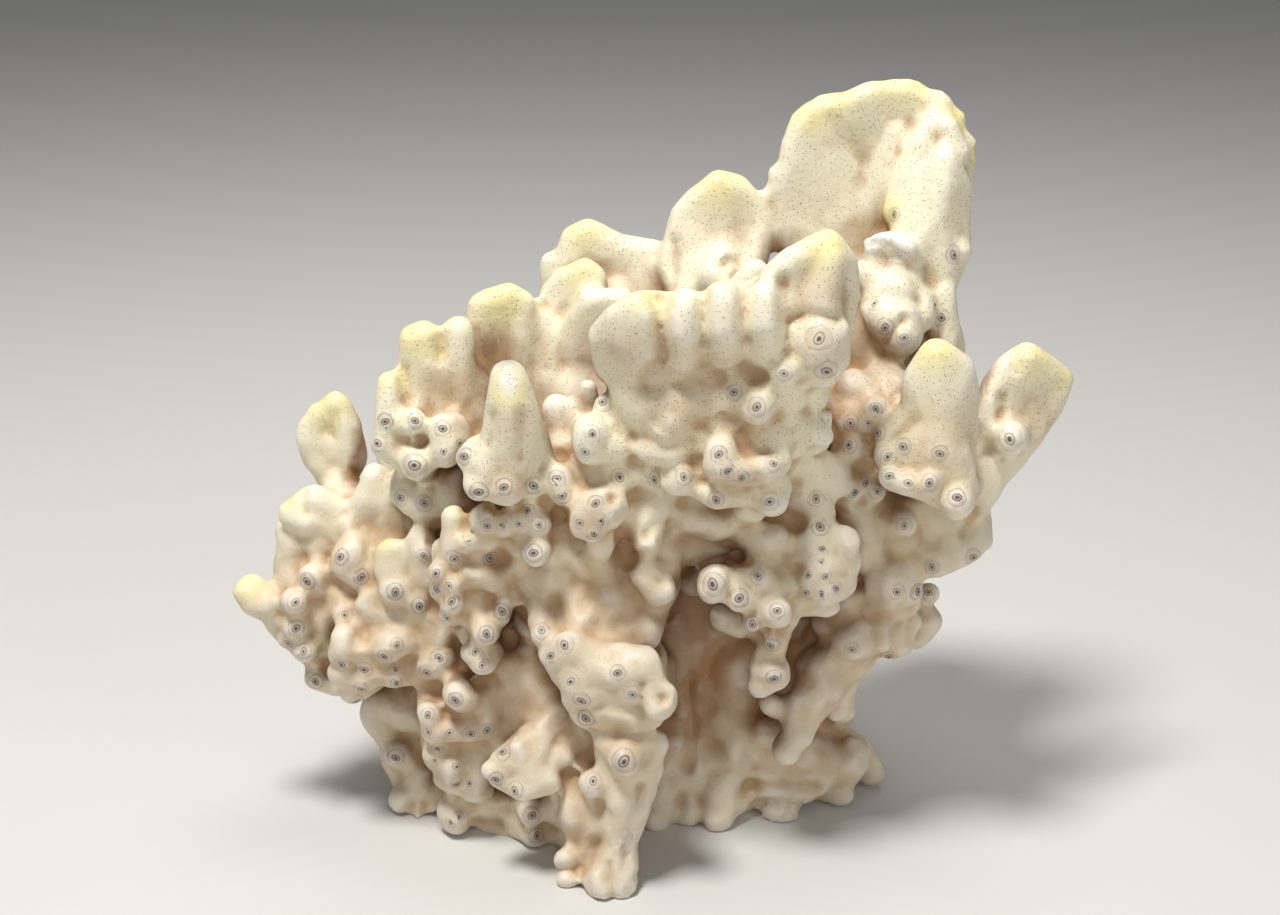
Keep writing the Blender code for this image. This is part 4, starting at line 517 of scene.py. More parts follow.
            (-49.8, 119.4, -19, 3.3), (-46.4, 120.2, -17, 3), (-44.8, 116, -17, 3.4),
            (-48.6, 113.4, -20, 3.5),
        ),
        limb((-56, 110.2, -19.5, 4.2), (-53.4, 110.8, -13, 4.8), (-60, 111.6, -13, 3.4)),
        # the cone under them and the smooth face below its lip
        web(
            (-54, 103.4, -11, 5),
            (-58.4, 107, -9, 3.8), (-48, 108, -9, 5), (-44, 102, -8, 5), (-49.6, 99.6, -13, 3.4),
            (-55, 99.6, -14, 3.4), (-59, 102.4, -11, 3.2),
        ),
        limb((-54, 95, -7, 5), (-48, 96, -6, 6), (-54, 88, -5, 5)),
        limb((-58, 115, -6, 5), (-50, 108, -3, 7)),
        limb((-48, 118, -8, 6), (-46, 106, -2, 8), (-42, 100, 4, 10)),
    ],
    "middle_blades": [
        web(
            (-34, 137, 4, 4.6),
            (-39.2, 149.4, 3), (-37, 150.6, 3), (-32.5, 152, 3), (-29.6, 150.5, 3), (-29.7, 142, 2),
            (-30, 132, 1, 4.5), (-28, 122, -2, 5), (-36, 118, -2, 6), (-42, 125, 0, 5), (-41, 138, 2, 4.5),
        ),
        web(
            (-17, 143, 10, 5),
            (-19, 156.6, 10), (-14, 158.5, 10), (-11.7, 156.5, 10), (-11, 148, 9, 4), (-10, 135, 6, 5),
            (-12, 122, 2, 6), (-22, 120, 2, 6), (-24, 135, 6, 5), (-22.5, 147, 9, 4.2), (-21.5, 153, 10),
        ),
        web(
            (-11.6, 143, 3, 4.4),
            (-15, 146, 3, 3.6), (-12, 150.6, 2, 3.6), (-5, 151, 2, 3.6), (-5, 138, 2, 4), (-13, 131, 3, 5),
            (-15.6, 139, 3, 4),
        ),
        limb((-24.6, 146, 5, 3), (-24, 136, 3, 4.4), (-24, 126, 0, 5)),
        limb((-34, 124, 0, 7), (-30, 112, 6, 11)),
        limb((-17, 126, 5, 8), (-16, 112, 8, 12)),
    ],
    "front_thumb": [
        limb((-33.2, 131.8, -36, 4.6), (-32.6, 126, -36, 5.9), (-31.8, 119.6, -35, 7.4)),
        limb((-31.8, 119.6, -35, 7.4), (-32, 113, -34, 7.6), (-34, 108, -34, 6.4)),
        limb((-26, 113, -31, 4.4), (-28, 118, -33, 5)),
        limb((-38, 109.6, -37, 4.6), (-35, 113, -35, 6)),
        limb((-40.4, 105.2, -38, 3.9), (-40, 109, -36, 4), (-35, 112, -33, 6)),
        limb((-33.6, 104.2, -38.5, 4.4), (-34, 110, -34, 6)),
        limb((-27.4, 105, -35.5, 3.5), (-29, 110, -32, 5)),
        limb((-43, 111.6, -34, 2.9), (-39.6, 112.6, -32, 5)),
        limb((-34, 112, -28, 7), (-32, 110, -14, 9), (-30, 106, 0, 12)),
    ],
    "back_ridge": [
        limb((-21.3, 160.3, 24, 3.5), (-20.5, 152, 24, 4.2), (-17, 140, 20, 6)),
        web(
            (-8, 157, 24, 5),
            (-16.5, 166.4, 24), (-13, 168, 24), (-9.5, 166, 24), (-6, 163.8, 24), (4, 163, 23),
            (6, 156, 21, 5), (0, 145, 18, 6), (-14, 145, 18, 6), (-18.5, 156, 22, 4.5),
        ),
        web(
            (20, 168, 20, 5),
            (11.2, 172.3, 20), (14.5, 176.3, 20), (19.5, 180.2, 20), (24, 178.5, 20), (27.5, 175, 20),
            (29.6, 170, 19), (28, 163, 17, 4.5), (24, 154, 13, 6), (12, 153, 13, 6), (8.5, 160, 17, 5),
        ),
        limb((29, 158.5, 0, 3.5), (26, 152, 0, 5), (22, 145, 6, 8)),
        limb((20.6, 161, 11, 3.6), (19, 157, 10, 5)),
        limb((-6, 150, 19, 7), (-4, 132, 18, 10)),
        limb((18, 156, 14, 7), (18, 140, 14, 10)),
        core((-12, 46, 104, 6), (4, 50, 112, 6), (18, 46, 106, 6)),
    ],
    "front_blade": [
        # the sheet behind the flutes, and the four flutes
        web(
            (12, 143, -28, 4.4),
            (-9.4, 142.4, -31, 3.6), (-5.6, 146.8, -33, 3.6), (1, 150.6, -34, 3.4), (12, 150, -33, 3.4),
            (20, 150.6, -33, 3.4), (28, 151.6, -33, 3.4), (35, 156, -33), (36, 145, -31, 4.2),
            (27, 135, -28, 4.6), (10, 133, -27, 4.6), (-7, 134.4, -29, 4.2),
        ),
        web(
            (-3.6, 142, -37, 4.8),
            (-9.2, 142.4, -34, 3.9), (-5.4, 146.6, -37, 3.8), (-0.6, 149.8, -38.5, 3.8), (1.2, 147, -39, 4),
            (0.6, 139.6, -38, 4), (-3, 134.4, -34, 4.4), (-7.6, 135.6, -32, 4),
        ),
        limb((10.9, 149.4, -38.8, 4.9), (11, 144, -39.6, 5), (11, 138, -36, 4.6)),
        limb((21, 151, -39.6, 5.1), (21, 145, -40.6, 5.3), (21, 138.6, -37, 4.8)),
        limb((31.2, 151.4, -38.8, 4.8), (31.2, 146, -39.8, 4.9), (31.4, 139, -36, 4.6)),
        # the pointed lobe on the right and the knob below it
        web(
            (44, 154, -31, 4.4),
            (33.5, 156.5, -35), (38, 160.6, -34), (43, 163, -33), (46.8, 164.6, -32), (50.3, 160, -31),
            (51.2, 153, -31), (49.5, 146, -32), (42, 144, -34), (37, 147, -35),
        ),
        limb((47, 161, -34, 4), (45.5, 153, -35, 5), (45.6, 146, -36.4, 5)),
        web(
            (45, 139, -37.6, 5.6),
            (40.6, 143, -35.6, 4.4), (48, 143.4, -37, 4.4), (48.6, 137, -37, 4.2), (46, 134, -37, 4.6),
            (41, 136, -35.4, 4.6),
        ),
        limb((45, 139, -32, 6), (40, 132, -26, 7), (32, 126, -22, 9)),
        limb((36.2, 133.2, -39, 3.5), (36.4, 128, -33, 5)),
        limb((36.6, 141, -35, 3.6), (38, 136, -33, 5), (42, 128, -29, 5)),
        # the swelling under the hollow band, with its scar and its ledge
        limb((-1, 135.4, -32, 5.4), (10, 136.6, -32, 5.4), (22, 137, -32, 5.4), (33, 139, -31, 5.4)),
        limb((1, 125, -32, 6), (12, 125.4, -32, 6.6), (23, 127, -33, 6.4)),
        limb((-4, 132, -32, 4.6), (0, 125, -32, 5.6), (6, 119, -32, 5.6), (16, 120, -31, 6)),
        limb((6.8, 120, -36.5, 4.2), (12, 121, -32, 6)),
        limb((1.4, 114, -35, 2.8), (7, 112.8, -36.5, 2.8), (12, 115.4, -34, 3.6)),
        limb((28.8, 125, -38, 4.8), (28, 127, -33, 6)),
        limb((24, 129, -36, 3.6), (24, 127, -31, 5)),
        limb((35.6, 123, -31, 5.4), (36, 127, -29, 5)),
        # the broken point
        limb((36, 119.6, -30, 4.8), (43.6, 118.4, -33, 3.4), (46.4, 117, -33.5, 2.3)),
        limb((38, 114.8, -27, 4), (45, 115.4, -30, 2.6)),
        # the barnacled roll and the three lumps below it
        limb((20.3, 114.6, -40, 4), (20.6, 110, -41, 4.6), (25.2, 108.6, -40.5, 4.1), (31, 109.6, -39, 3.8)),
        limb((31, 109.6, -39, 3.8), (34.4, 111.2, -37, 3.2)),
        limb((10.2, 106.4, -36, 4.3), (11, 110, -30, 5)),
        limb((16, 104.2, -36, 3.6), (19.6, 102.4, -37, 3.7), (24.6, 102.8, -36, 3.5)),
        limb((19, 105.4, -35, 4), (28, 105, -35, 4), (33, 105.6, -34, 4)),
        limb((32.6, 101.4, -35, 4.4), (34, 105.4, -32, 4)),
        limb((28, 100, -31, 4.4), (28, 105, -30, 5)),
        limb((10, 108, -25, 6), (28, 107, -26, 6.4), (36, 112, -24, 6.4)),
        limb((23, 119, -33.5, 5), (33, 117.4, -33.5, 5), (28, 122, -28, 7)),
        limb((27, 114.6, -34, 4), (33, 114, -33, 3.8), (37, 115, -31, 4)),
        limb((13.6, 111, -31.6, 4.4), (18, 108, -31, 5)),
        limb((41, 111, -22, 6), (47, 107, -20, 6), (39, 103, -21, 6)),
        limb((18, 118, -24, 8), (18, 120, -6, 14)),
        limb((24, 110, -24, 7), (28, 112, -6, 12)),
        limb((6, 132, -26, 6), (10, 122, -24, 8)),
    ],
    "fan_plate": [
        web(
            (58, 184, 26, 4.4),
            (35.6, 179.2, 22, 4.2), (37.8, 185, 22, 3.6), (38.6, 190, 23), (41, 195.6, 24), (46, 199, 25),
            (52, 199.8, 24), (58, 202.8, 23), (66.6, 203.2, 24), (70, 201.4, 24), (75, 199.8, 23),
            (79, 191.5, 22), (80.3, 186, 22), (79, 179, 21), (76.5, 171, 20, 4.2), (68, 158, 20, 6),
            (56, 152, 20, 7), (44, 156, 21, 6), (37.5, 167, 21, 4),
        ),
        limb((74, 196.5, 20, 3.2), (70, 190, 17, 3.4), (67, 182, 15, 4), (65, 173, 13, 4.6)),
        limb((64, 193, 23, 4), (61.4, 184, 22, 4.6), (60, 174, 21, 5), (60, 165, 19, 5)),
        limb((77, 194.4, 17.6, 3.4), (79, 188, 17, 3.6)),
        limb((34.8, 182.6, 22, 3), (38, 180, 22, 4)),
        limb((43, 198, 24, 3.2), (50.6, 200.4, 24, 2.8), (52, 198, 24)),
        limb((56.6, 203.4, 23.4, 2.8), (60, 200, 24)),
        limb((63.2, 204.4, 23.6, 2.7), (68.8, 204, 24, 2.6), (68, 200, 24)),
        limb((74.4, 201.8, 23.4, 2.6), (73, 198, 23)),
        limb((79.4, 196.6, 22.6, 2.6), (76, 194, 22)),
        limb((82, 190.4, 22, 2.4), (78, 188, 22)),
        web(
            (73.6, 172, 9, 4.4),
            (76.2, 186.6, 12, 3.1), (79.4, 178, 15, 3.6), (79.4, 166, 13, 4), (75, 156, 8, 5),
            (67, 162, 8, 5), (67, 172, 11, 4.4), (70.6, 181, 13, 3.8),
        ),
        limb((74, 156, 8, 5), (75.5, 146, 8, 4.2), (77, 140, 7, 4), (72, 122, 6, 8)),
        web(
            (75, 176, 15, 3.6),
            (76, 187, 13, 3.1), (80, 184, 21, 3.6), (77, 165, 16, 4.5), (74, 152, 12, 5), (73, 168, 10, 4),
        ),
        limb((79.4, 163.6, 10, 4), (74, 160, 13, 5)),
        limb((76.6, 150.6, 4, 3), (74, 150, 9, 4.4)),
        limb((75.6, 153, 5, 3.8), (76, 143, 4, 4), (74, 138, 2, 4.4)),
        # the broken crest in front of the fan's foot
        limb((58, 164.8, 3, 2.6), (62, 166, 1, 2.6), (66, 164, 1, 2.8), (68.2, 160.8, 3, 2.8)),
        limb((61, 161, 4, 4), (66, 160, 4, 4), (70, 157, 9, 5)),
        limb((63, 163, 7, 5), (64, 158, 12, 7)),
        limb((58, 156, 18, 8), (54, 138, 16, 11)),
    ],
    "shoulder_lobes": [
        limb((62.4, 153, 0, 6.4), (63, 147.6, -4, 6.6), (65, 143, -5, 5.6)),
        limb((57.4, 157.6, 3, 4.6), (66.5, 156, 3, 4.8)),
        limb((58.6, 149.6, -3, 3.6), (60, 152, 0, 5)),
        limb((69.6, 147, -1, 4), (68, 152, 2, 5)),
        limb((63, 150, 3, 7), (58, 136, 8, 11)),
        # the stepped lumps beside the smooth blade
        limb((53.6, 130, -9, 4.6), (57, 127.6, -10, 4.6), (52, 126, -7, 5)),
        limb((59.2, 123.8, -16, 3.8), (57.4, 120.6, -16, 3.6), (56, 124, -9, 5)),
        limb((60, 117.8, -16, 3.4), (57, 118, -10, 5)),
        limb((52.6, 120.8, -13, 3.8), (50, 125, -8, 4.6)),
        limb((54.4, 114.6, -15.5, 4.2), (51.4, 116.6, -12, 4.4)),
        limb((54.6, 123, -9.6, 7), (53, 118, -9, 7), (52, 118, 2, 11)),
        limb((64.6, 129, -10, 4.6), (61, 132, -4, 6)),
        # the cluster of three barnacled knobs
        limb((56, 106, -17, 3.2), (54, 103, -11, 5)),
        limb((53, 103.6, -17.5, 3.1), (53, 103, -11, 5)),
        limb((58.8, 103.6, -17, 2.9), (55, 103, -11, 5)),
        limb((49.4, 99.4, -11, 4.4), (54, 97, -11, 4.6), (56.6, 93, -11, 4)),
        limb((64.6, 95.4, -15, 4.2), (64.8, 98, -9, 4)),
        limb((60.2, 93.4, -12, 3.4), (61, 97, -7, 5)),
        limb((56.8, 86.8, -13, 2.6), (54, 90, -9, 4.4), (54, 97, -6, 6)),
        limb((54, 104, -6, 7), (50, 104, 2, 11)),
        limb((60, 97, -12, 5.4), (66, 90, -9, 5.4), (62, 84, -9, 5.4)),
        limb((54, 97, -14, 5.4), (56, 88, -13, 5.4)),
        limb((48, 104, -16, 5), (54, 98, -14, 5)),
        limb((60, 92, -1, 6), (56, 86, 1, 8)),
    ],
    "right_blade": [
        web(
            (74.5, 121, -25, 5.4),
            (74, 137.6, -24, 4.2), (79.8, 134, -23, 4), (81, 127, -22, 4), (80, 118, -22, 4),
            (79, 110, -24, 4), (80.5, 104.5, -27, 4.2), (78, 102.5, -29, 4), (70, 105.2, -28, 3.8),
            (63.6, 107.6, -25, 3.6), (61.8, 112, -22, 3.8), (64, 118, -21, 3.8), (69, 124, -22, 4),
            (70, 131, -23, 4.2),
        ),
        limb((79.4, 100.2, -31.5, 3.7), (79, 104, -29, 4)),
        limb((62, 112, -24.5, 3.6), (64, 114, -21, 4)),
        limb((62.8, 107, -28, 3), (67, 105.6, -29.5, 3.1)),
        limb((72.4, 106, -30.5, 3.2), (72, 109, -25, 4.4)),
        limb((67, 113, -17, 6), (60, 112, -8, 8), (50, 112, 2, 12)),
    ],
    "right_wing": [
        web(
            (95, 127, -3, 4),
            (88.7, 129.8, -6, 3.7), (92, 134, -5, 3.7), (96.8, 137, -4, 3.7), (100.8, 134.5, -2, 3.7),
            (105.4, 131.2, 0, 3.7), (103.3, 126, -1, 3.7), (99.5, 120.5, -3, 3.7), (94.5, 114, -5, 3.7),
            (91, 109.5, -7, 3.7), (87, 107, -8, 4), (85.5, 112, -8, 4), (86, 122, -8, 4),
        ),
        limb((91.8, 117, -12, 4.4), (93, 118, -6, 4.4)),
        limb((89, 108, -8, 3.6), (86.4, 102.6, -10, 3.4), (83, 96, -6, 4.6)),
        web(
            (78, 93, -9, 5),
            (84.3, 96.7, -8, 4.2), (84.4, 92, -11, 4), (79.6, 88.4, -13, 4.2), (73.4, 85.4, -13, 3.9),
            (66, 90, -8, 5), (70, 99, -8, 5),
        ),
        limb((74.6, 91.6, -8, 4.4), (70, 92, -3, 5)),
        limb((88, 110, -7, 4.4), (78, 104, 0, 7)),
        limb((76, 94, -2, 6), (68, 98, 4, 9), (56, 100, 8, 12)),
    ],
    "long_finger": [
        # the smooth lobe on top and the small lobes on the right edge
        web(
            (63.4, 79.6, -17, 5.6),
            (60.4, 81.2, -16, 4.6), (66, 81.6, -16.4, 4.4), (66, 76, -15.6, 4.4), (60.6, 75, -15, 5),
        ),
        limb((62, 77, -12, 6), (61, 74, -6, 6)),
        limb((66.4, 70.6, -14, 3.9), (64.8, 66.8, -13, 3.7), (61, 68, -9, 5)),
        limb((71.6, 70.8, -5, 4.1), (69, 66.8, -5, 3.4), (64, 71, -3, 6)),
        limb((72.2, 78, -4, 2.4), (67, 76, -3, 5)),
        limb((60.4, 65.2, -13, 3), (66.4, 64.6, -9, 2.8)),
        limb((53.4, 66.4, -19, 5.4), (57, 68, -16, 6.4)),
        limb((52, 76, -12, 6), (48, 71, -14, 5)),
        # the drooping finger
        limb((52, 63, -14, 7.6), (46, 58, -17, 7.6), (42.4, 51.4, -20, 5.8)),
        limb((42.4, 51.4, -20, 5.8), (39.4, 45, -22, 4.3), (36.9, 38.9, -24, 3.8)),
        limb((49, 50, -10, 3.9), (50, 57, -8, 5)),
        limb((56, 70, -6, 7), (50, 74, 4, 13)),
    ],
    "hanging_arm": [
        # the barnacled arm from its thin top to the thick end
        limb((43.6, 102, -23, 3.8), (45, 96, -26, 3.8), (45, 92, -28, 4)),
        web(
            (45.6, 86, -29, 5.6),
            (43.6, 91.6, -28, 3.8), (48.6, 91.6, -28, 3.8), (51.2, 86, -28, 3.6), (50.4, 80.6, -29, 3.6),
            (45.4, 78.6, -30.5, 3.8), (41.4, 81, -30, 3.8), (40.4, 86.4, -28, 3.8),
        ),
        limb((51, 91.4, -30, 3.8), (48, 88, -27, 5)),
        limb((41.6, 77.4, -30, 3), (45.2, 77.6, -31, 3), (49, 79, -30, 3)),
        limb((40, 75, -27, 3.4), (47, 75.2, -26, 3)),
        # its left end, in knobs over a second lobe
        limb((18.7, 80.2, -36, 4.3), (23.4, 80, -34, 4)),
        limb((24, 80.6, -33, 4.2), (30, 81, -33, 3.9), (33.4, 78.6, -32, 4)),
        limb((25, 76.6, -36.5, 3.4), (29, 78, -33, 4.4)),
        limb((34.2, 73.3, -37, 3.9), (31, 76, -33, 4.4)),
        limb((28.4, 71.2, -35, 2.6), (31, 74, -32, 4)),
        limb((35, 78, -29, 4.6), (42, 79, -27, 5)),
        limb((20.6, 72.6, -27, 3.4), (26, 71, -27, 4), (30, 74, -28, 5)),
        # the pale column that hangs from it
        limb((36.4, 71.6, -31, 4.2), (34, 67, -32, 4), (32.2, 61.6, -32, 4)),
        limb((33.2, 66.4, -35, 2.4), (34, 68, -32, 3.4)),
        limb((30.8, 59.4, -33, 3.4), (33.8, 59, -33.5, 3.6), (32, 61, -31, 3.8)),
        limb((31, 55.8, -32.5, 3.5), (34, 56.6, -32, 3.3), (32.6, 60, -31, 3.8)),
        limb((32.6, 50.4, -20, 3), (36, 49, -19, 3.6)),
        limb((27, 93, -25, 5), (31.6, 91, -26, 6.4), (35.6, 85, -25, 5.4)),
        limb((45, 86, -22, 7), (42, 92, -12, 9), (40, 96, 0, 13)),
        limb((32, 92, -14, 8), (36, 92, -2, 12)),
    ],
    "rear_left_blade": [
        plate(
            (-45, 34, 94, 5),
            (-58, 30, 94, 4), (-55, 34, 108, 4), (-46, 38, 111, 4), (-36, 38, 110, 4), (-31, 34, 96, 5),
            (-38, 28, 80, 7), (-53, 27, 82, 6),
        ),
        core((-42, 30, 86, 8.5), (-34, 18, 80, 12)),
        core((-66, 30, 84, 4.5), (-58, 24, 78, 6), (-48, 18, 74, 9)),
    ],
    "rear_right_blade": [
        plate(
            (52, 42, 104, 5),
            (39, 42, 108, 4), (41, 46, 124, 4), (52, 48, 130, 4), (64, 46, 122, 4), (69, 40, 106, 4),
            (60, 32, 90, 6), (45, 32, 88, 7),
        ),
        core((50, 32, 92, 8), (44, 18, 90, 12)),
        core((80, 24, 88, 5), (70, 20, 86, 7), (56, 16, 88, 10)),
    ],
    "rear_middle_blade": [
        plate(
            (4, 45, 102, 5),
            (-13, 44, 104, 4), (-11, 48, 120, 4), (4, 52, 128, 4), (17, 50, 124, 4), (21, 44, 106, 4),
            (14, 41, 88, 7), (-5, 40, 86, 7),
        ),
        core((4, 38, 90, 9), (2, 24, 88, 13)),
        core((-20, 54, 90, 4.5), (-12, 44, 80, 6), (-6, 32, 74, 9)),
        core((32, 54, 94, 4.5), (26, 42, 82, 6), (20, 32, 76, 9)),
    ],
}

# Grooves and pits pressed into the front of a fork: how deep, how wide at half their
# depth, then the points of the line as (right, up)
CREASES: dict[str, list[tuple]] = {
    "trunk": [
        (2.0, 1.2, (26, 27), (27, 29.4), (35, 30.4), (44, 29.4)),
        (1.6, 1.2, (12, 60), (13, 46), (12, 34)),
    ],
    "front_leg": [
        (2.8, 1.5, (5.2, 51.3)),
        (1.6, 1.2, (0.2, 55), (1.2, 51), (0.6, 47)),
        (1.4, 1.3, (-12, 45.4), (-5, 44), (3, 44.6)),
        (1.4, 1.2, (1, 92.6), (3.8, 95.4)),
        (1.4, 1.2, (1.4, 83.6), (4.6, 81.2)),
        (1.5, 1.2, (-2.4, 86.4), (2, 87.4), (7, 86)),
        (1.5, 1.0, (-7.6, 10), (-7, 1)),
        (1.3, 1.0, (-20, 9), (-15.4, 9.4)),
        (1.2, 1.0, (-13.4, 2), (-13.8, 11), (-11, 16)),
        (1.0, 0.9, (0, 29), (-3, 20), (-4, 10)),
        (1.2, 1.4, (-14, 74), (-12, 82), (-15, 88)),
        (1.2, 1.4, (-6, 70), (0, 73), (6, 72)),
    ],
    "left_mound": [
        (1.4, 1.2, (-24.6, 48), (-29, 43.6), (-33.6, 41.6)),
        (1.3, 1.1, (-21.6, 40.4), (-23.6, 35.4)),
        (1.2, 1.0, (-57.6, 20), (-57.4, 25)),
        (1.2, 1.0, (-54, 20), (-54, 25)),
    ],
    "left_fork": [
        (0.8, 1.1, (-76.4, 122), (-76.4, 115)),
        (1.2, 1.2, (-84.4, 103), (-83.6, 98)),
        (1.4, 1.3, (-77, 61), (-70, 60.6), (-63, 61.2)),
        (1.2, 1.2, (-76, 86), (-74, 92)),
    ],
    "knob_cluster": [
        (1.4, 1.3, (-44, 86), (-38, 84.4), (-34, 86)),
        (1.2, 1.1, (-44, 79), (-40, 79.6), (-37, 77)),
        (1.2, 1.1, (-44.6, 93), (-43.4, 98)),
    ],
    "middle_knobs": [
        (2.6, 1.1, (-7, 101.6)),
        (1.4, 1.0, (-10, 91.6), (-7, 93)),
    ],
    "mitten_blade": [
        (1.4, 1.0, (-49.8, 142), (-49.8, 136)),
        (1.6, 1.2, (-59.6, 134), (-58.8, 127), (-59, 121)),
    ],
    "middle_blades": [
        (0.9, 1.2, (-23.4, 150), (-23.4, 134)),
    ],
    "front_thumb": [
        (1.2, 1.3, (-29.6, 123), (-29, 117), (-30, 112)),
        (1.2, 1.2, (-37, 123), (-37.6, 116)),
    ],
    "back_ridge": [
        (2.0, 1.3, (21, 160.2), (23, 161.6)),
        (1.3, 1.4, (8.6, 166), (9, 158), (8, 150)),
    ],
    "front_blade": [
        (3.4, 1.5, (5.6, 152), (5.4, 145), (6.4, 138)),
        (2.6, 1.4, (15.9, 152), (16, 146), (16, 141)),
        (2.4, 1.4, (26.4, 153.4), (26.2, 147), (26.6, 141.6)),
        (2.4, 1.4, (35.8, 156), (35.4, 149), (36.4, 142)),
        (1.6, 1.3, (37, 146.4), (42, 147.6), (49, 146.6)),
        (1.4, 1.2, (40, 131), (44, 131), (48, 132)),
        (1.6, 1.2, (24.8, 117.4), (26.6, 112.6), (32, 112.8)),
        (1.0, 1.3, (4, 121), (8, 118)),
        (1.4, 1.2, (14.6, 106.6), (24, 105), (29.4, 106)),
        (1.2, 1.0, (27, 104.4), (29.4, 99)),
    ],
    "fan_plate": [
        (1.0, 1.5, (68, 195), (64.6, 184), (62.6, 172)),
        (1.4, 0.8, (57, 165.6), (62, 165), (64.4, 163), (67, 161.4)),
    ],
    "shoulder_lobes": [
        (1.5, 1.3, (56, 150.6), (62, 152.6), (69, 151)),
        (1.3, 1.1, (62, 142), (66, 146.4)),
    ],
    "right_blade": [
        (1.2, 1.3, (65, 117), (68, 121)),
    ],
    "right_wing": [
        (1.4, 1.2, (87, 113), (90, 120), (91, 127)),
        (1.2, 1.2, (84.6, 99), (80.4, 92.4)),
        (1.4, 1.1, (93.4, 139), (94, 134)),
    ],
    "long_finger": [
        (1.5, 1.2, (58.6, 72), (64, 72.6), (68.6, 73.6)),
        (1.5, 1.2, (68.6, 73), (68, 66)),
        (1.3, 1.2, (59, 68), (59.4, 62)),
    ],
    "hanging_arm": [
        (1.4, 1.2, (22.4, 83), (22, 78)),
        (1.4, 1.2, (39.6, 84), (40, 78)),
        (1.2, 1.1, (35, 69.4), (30, 69)),
        (1.2, 1.1, (35, 60.4), (31, 61.6)),
    ],
}

# Barnacles of the front, as the eye sees them: right, up and, where it isn't the usual, radius
BARNACLES: tuple[tuple[float, ...], ...] = (
    (64, 172.5, 1.9), (78, 162.5, 2.4), (59, 150), (61.3, 144.7), (66, 142), (73, 150), (75, 147),
    (44.8, 141.5, 3), (46.5, 134, 2.8), (36, 133), (23.7, 128.2), (29.2, 124.5), (19.8, 112.5, 2.9),
    (22, 108.7), (25.2, 107.2), (33, 110.2), (10.8, 107), (4, 106.5, 2), (-5.2, 106.8), (19, 101.5),
    (32.5, 101), (44, 101.5), (-63.5, 121), (-65.3, 115.5), (-56.2, 121), (-56.3, 110, 3), (-49.3, 119),
    (-49, 113.5), (-45.5, 115.5, 2.2), (-43.5, 112, 2.2), (-40.2, 103.5), (-34, 104.5), (-27, 105),
    (-9, 125.5, 2.2), (-12, 117.7, 2.9), (-13.6, 113.7), (-20.8, 106.5), (-19.3, 102.5, 2.2), (-11, 100.3),
    (-14.8, 95.8), (-9.7, 96.4), (-11.5, 93.3), (-28, 98.5), (-30, 95.5), (-25.5, 95.2), (-26.5, 88),
    (-59.5, 101.8), (-54, 100.5), (-42.7, 91.5), (-41.5, 93.5), (-38, 95), (-34.5, 95), (-46.5, 87),
    (-38, 87), (-50.8, 83), (-50.5, 79.2), (-47.5, 80), (-47, 76), (-48, 72.3), (-55.2, 75), (-61.2, 78.3),
    (-54, 87.5, 1.8), (-34.5, 73.5), (-38.5, 67.8), (-41, 63.5), (-39.5, 60), (-83, 81), (-74.5, 87),
    (-69.8, 82.2), (-73.8, 72.3), (-86.2, 75.7), (-86, 69.3), (-87.5, 65.8), (-84, 63.5), (-81, 56),
    (-74.5, 60.5), (-68.8, 59.2), (-63.8, 62.5), (-61, 65), (-61.5, 58.8), (-61, 55.8), (-69.5, 54.5),
    (-71, 51.5), (-53, 58.5), (-50.2, 61.7), (-46, 51.5), (-53, 47.5), (-52.5, 43.5), (-47.5, 43.2),
    (-42.3, 43), (-38.3, 44), (-50.5, 39.5), (-51, 36.5), (-46, 34.7), (-42.5, 30.7), (-46, 30.7),
    (-47, 21), (-45.5, 22, 2), (-61, 37), (-34, 38), (-31, 28.8), (-36, 32), (-27, 22.5), (-26, 17.5),
    (-11.5, 31), (-13.3, 47), (-24.5, 68.5), (-18.7, 65), (-22, 62.5), (-17, 56), (-14.5, 51.5),
    (-5.5, 58), (-2, 53, 2), (-4, 36, 3), (18.3, 80.2, 2.9), (24.8, 76.8), (34.3, 73.5), (28.3, 70.5),
    (32.8, 65.3), (33.5, 57), (29.5, 82, 2), (45, 94.5), (45.5, 89), (45.3, 85.7), (42.4, 82.5),
    (46.2, 82.3), (48.7, 79.3), (45.5, 78), (41.8, 78.5), (59, 123.8), (57.3, 120.6), (60, 117.8),
    (53, 120.5), (52.5, 115), (62, 112), (66, 114.5), (75, 113), (62.5, 107.2), (67, 105.5), (72.3, 105.6),
    (56.2, 105.5), (53.3, 103.5), (59, 103.5), (79.3, 101.8), (92.5, 116.5, 3), (66, 95),
    (73, 84.7), (83, 87.3), (86, 87.8), (64, 78.5), (69, 78.5), (72, 78, 2), (62.3, 62.7), (53, 64, 2),
)

# Soft patches as (right, up, deep, reach) of the front view
YELLOW_TIPS: tuple[tuple[float, ...], ...] = (
    (42, 198, 24, 9), (50, 202, 24, 9), (60, 206, 24, 10), (69, 205, 24, 9), (78, 197, 22, 8),
    (83, 187, 22, 7), (20, 182, 20, 12), (-14, 170, 24, 10),
    (-15, 160, 10, 9), (-35, 153, 3, 12), (-55, 143, -8, 11), (-46, 145, -6, 8), (-63, 132, -12, 7),
    (-78, 126, 10, 11), (-87, 101, 0, 9), (-98, 79, -8, 8), (-33, 129, -40, 7), (-39, 113, -34, 5),
    (46, 165, -34, 9), (20, 154, -38, 6), (2, 152, -38, 8), (74, 139, -26, 9), (98, 137, -4, 9),
    (104, 133, 0, 8), (64, 173, 12, 7), (-63, 90, -14, 6), (66, 83, -14, 7), (-46, 98, -28, 5),
)
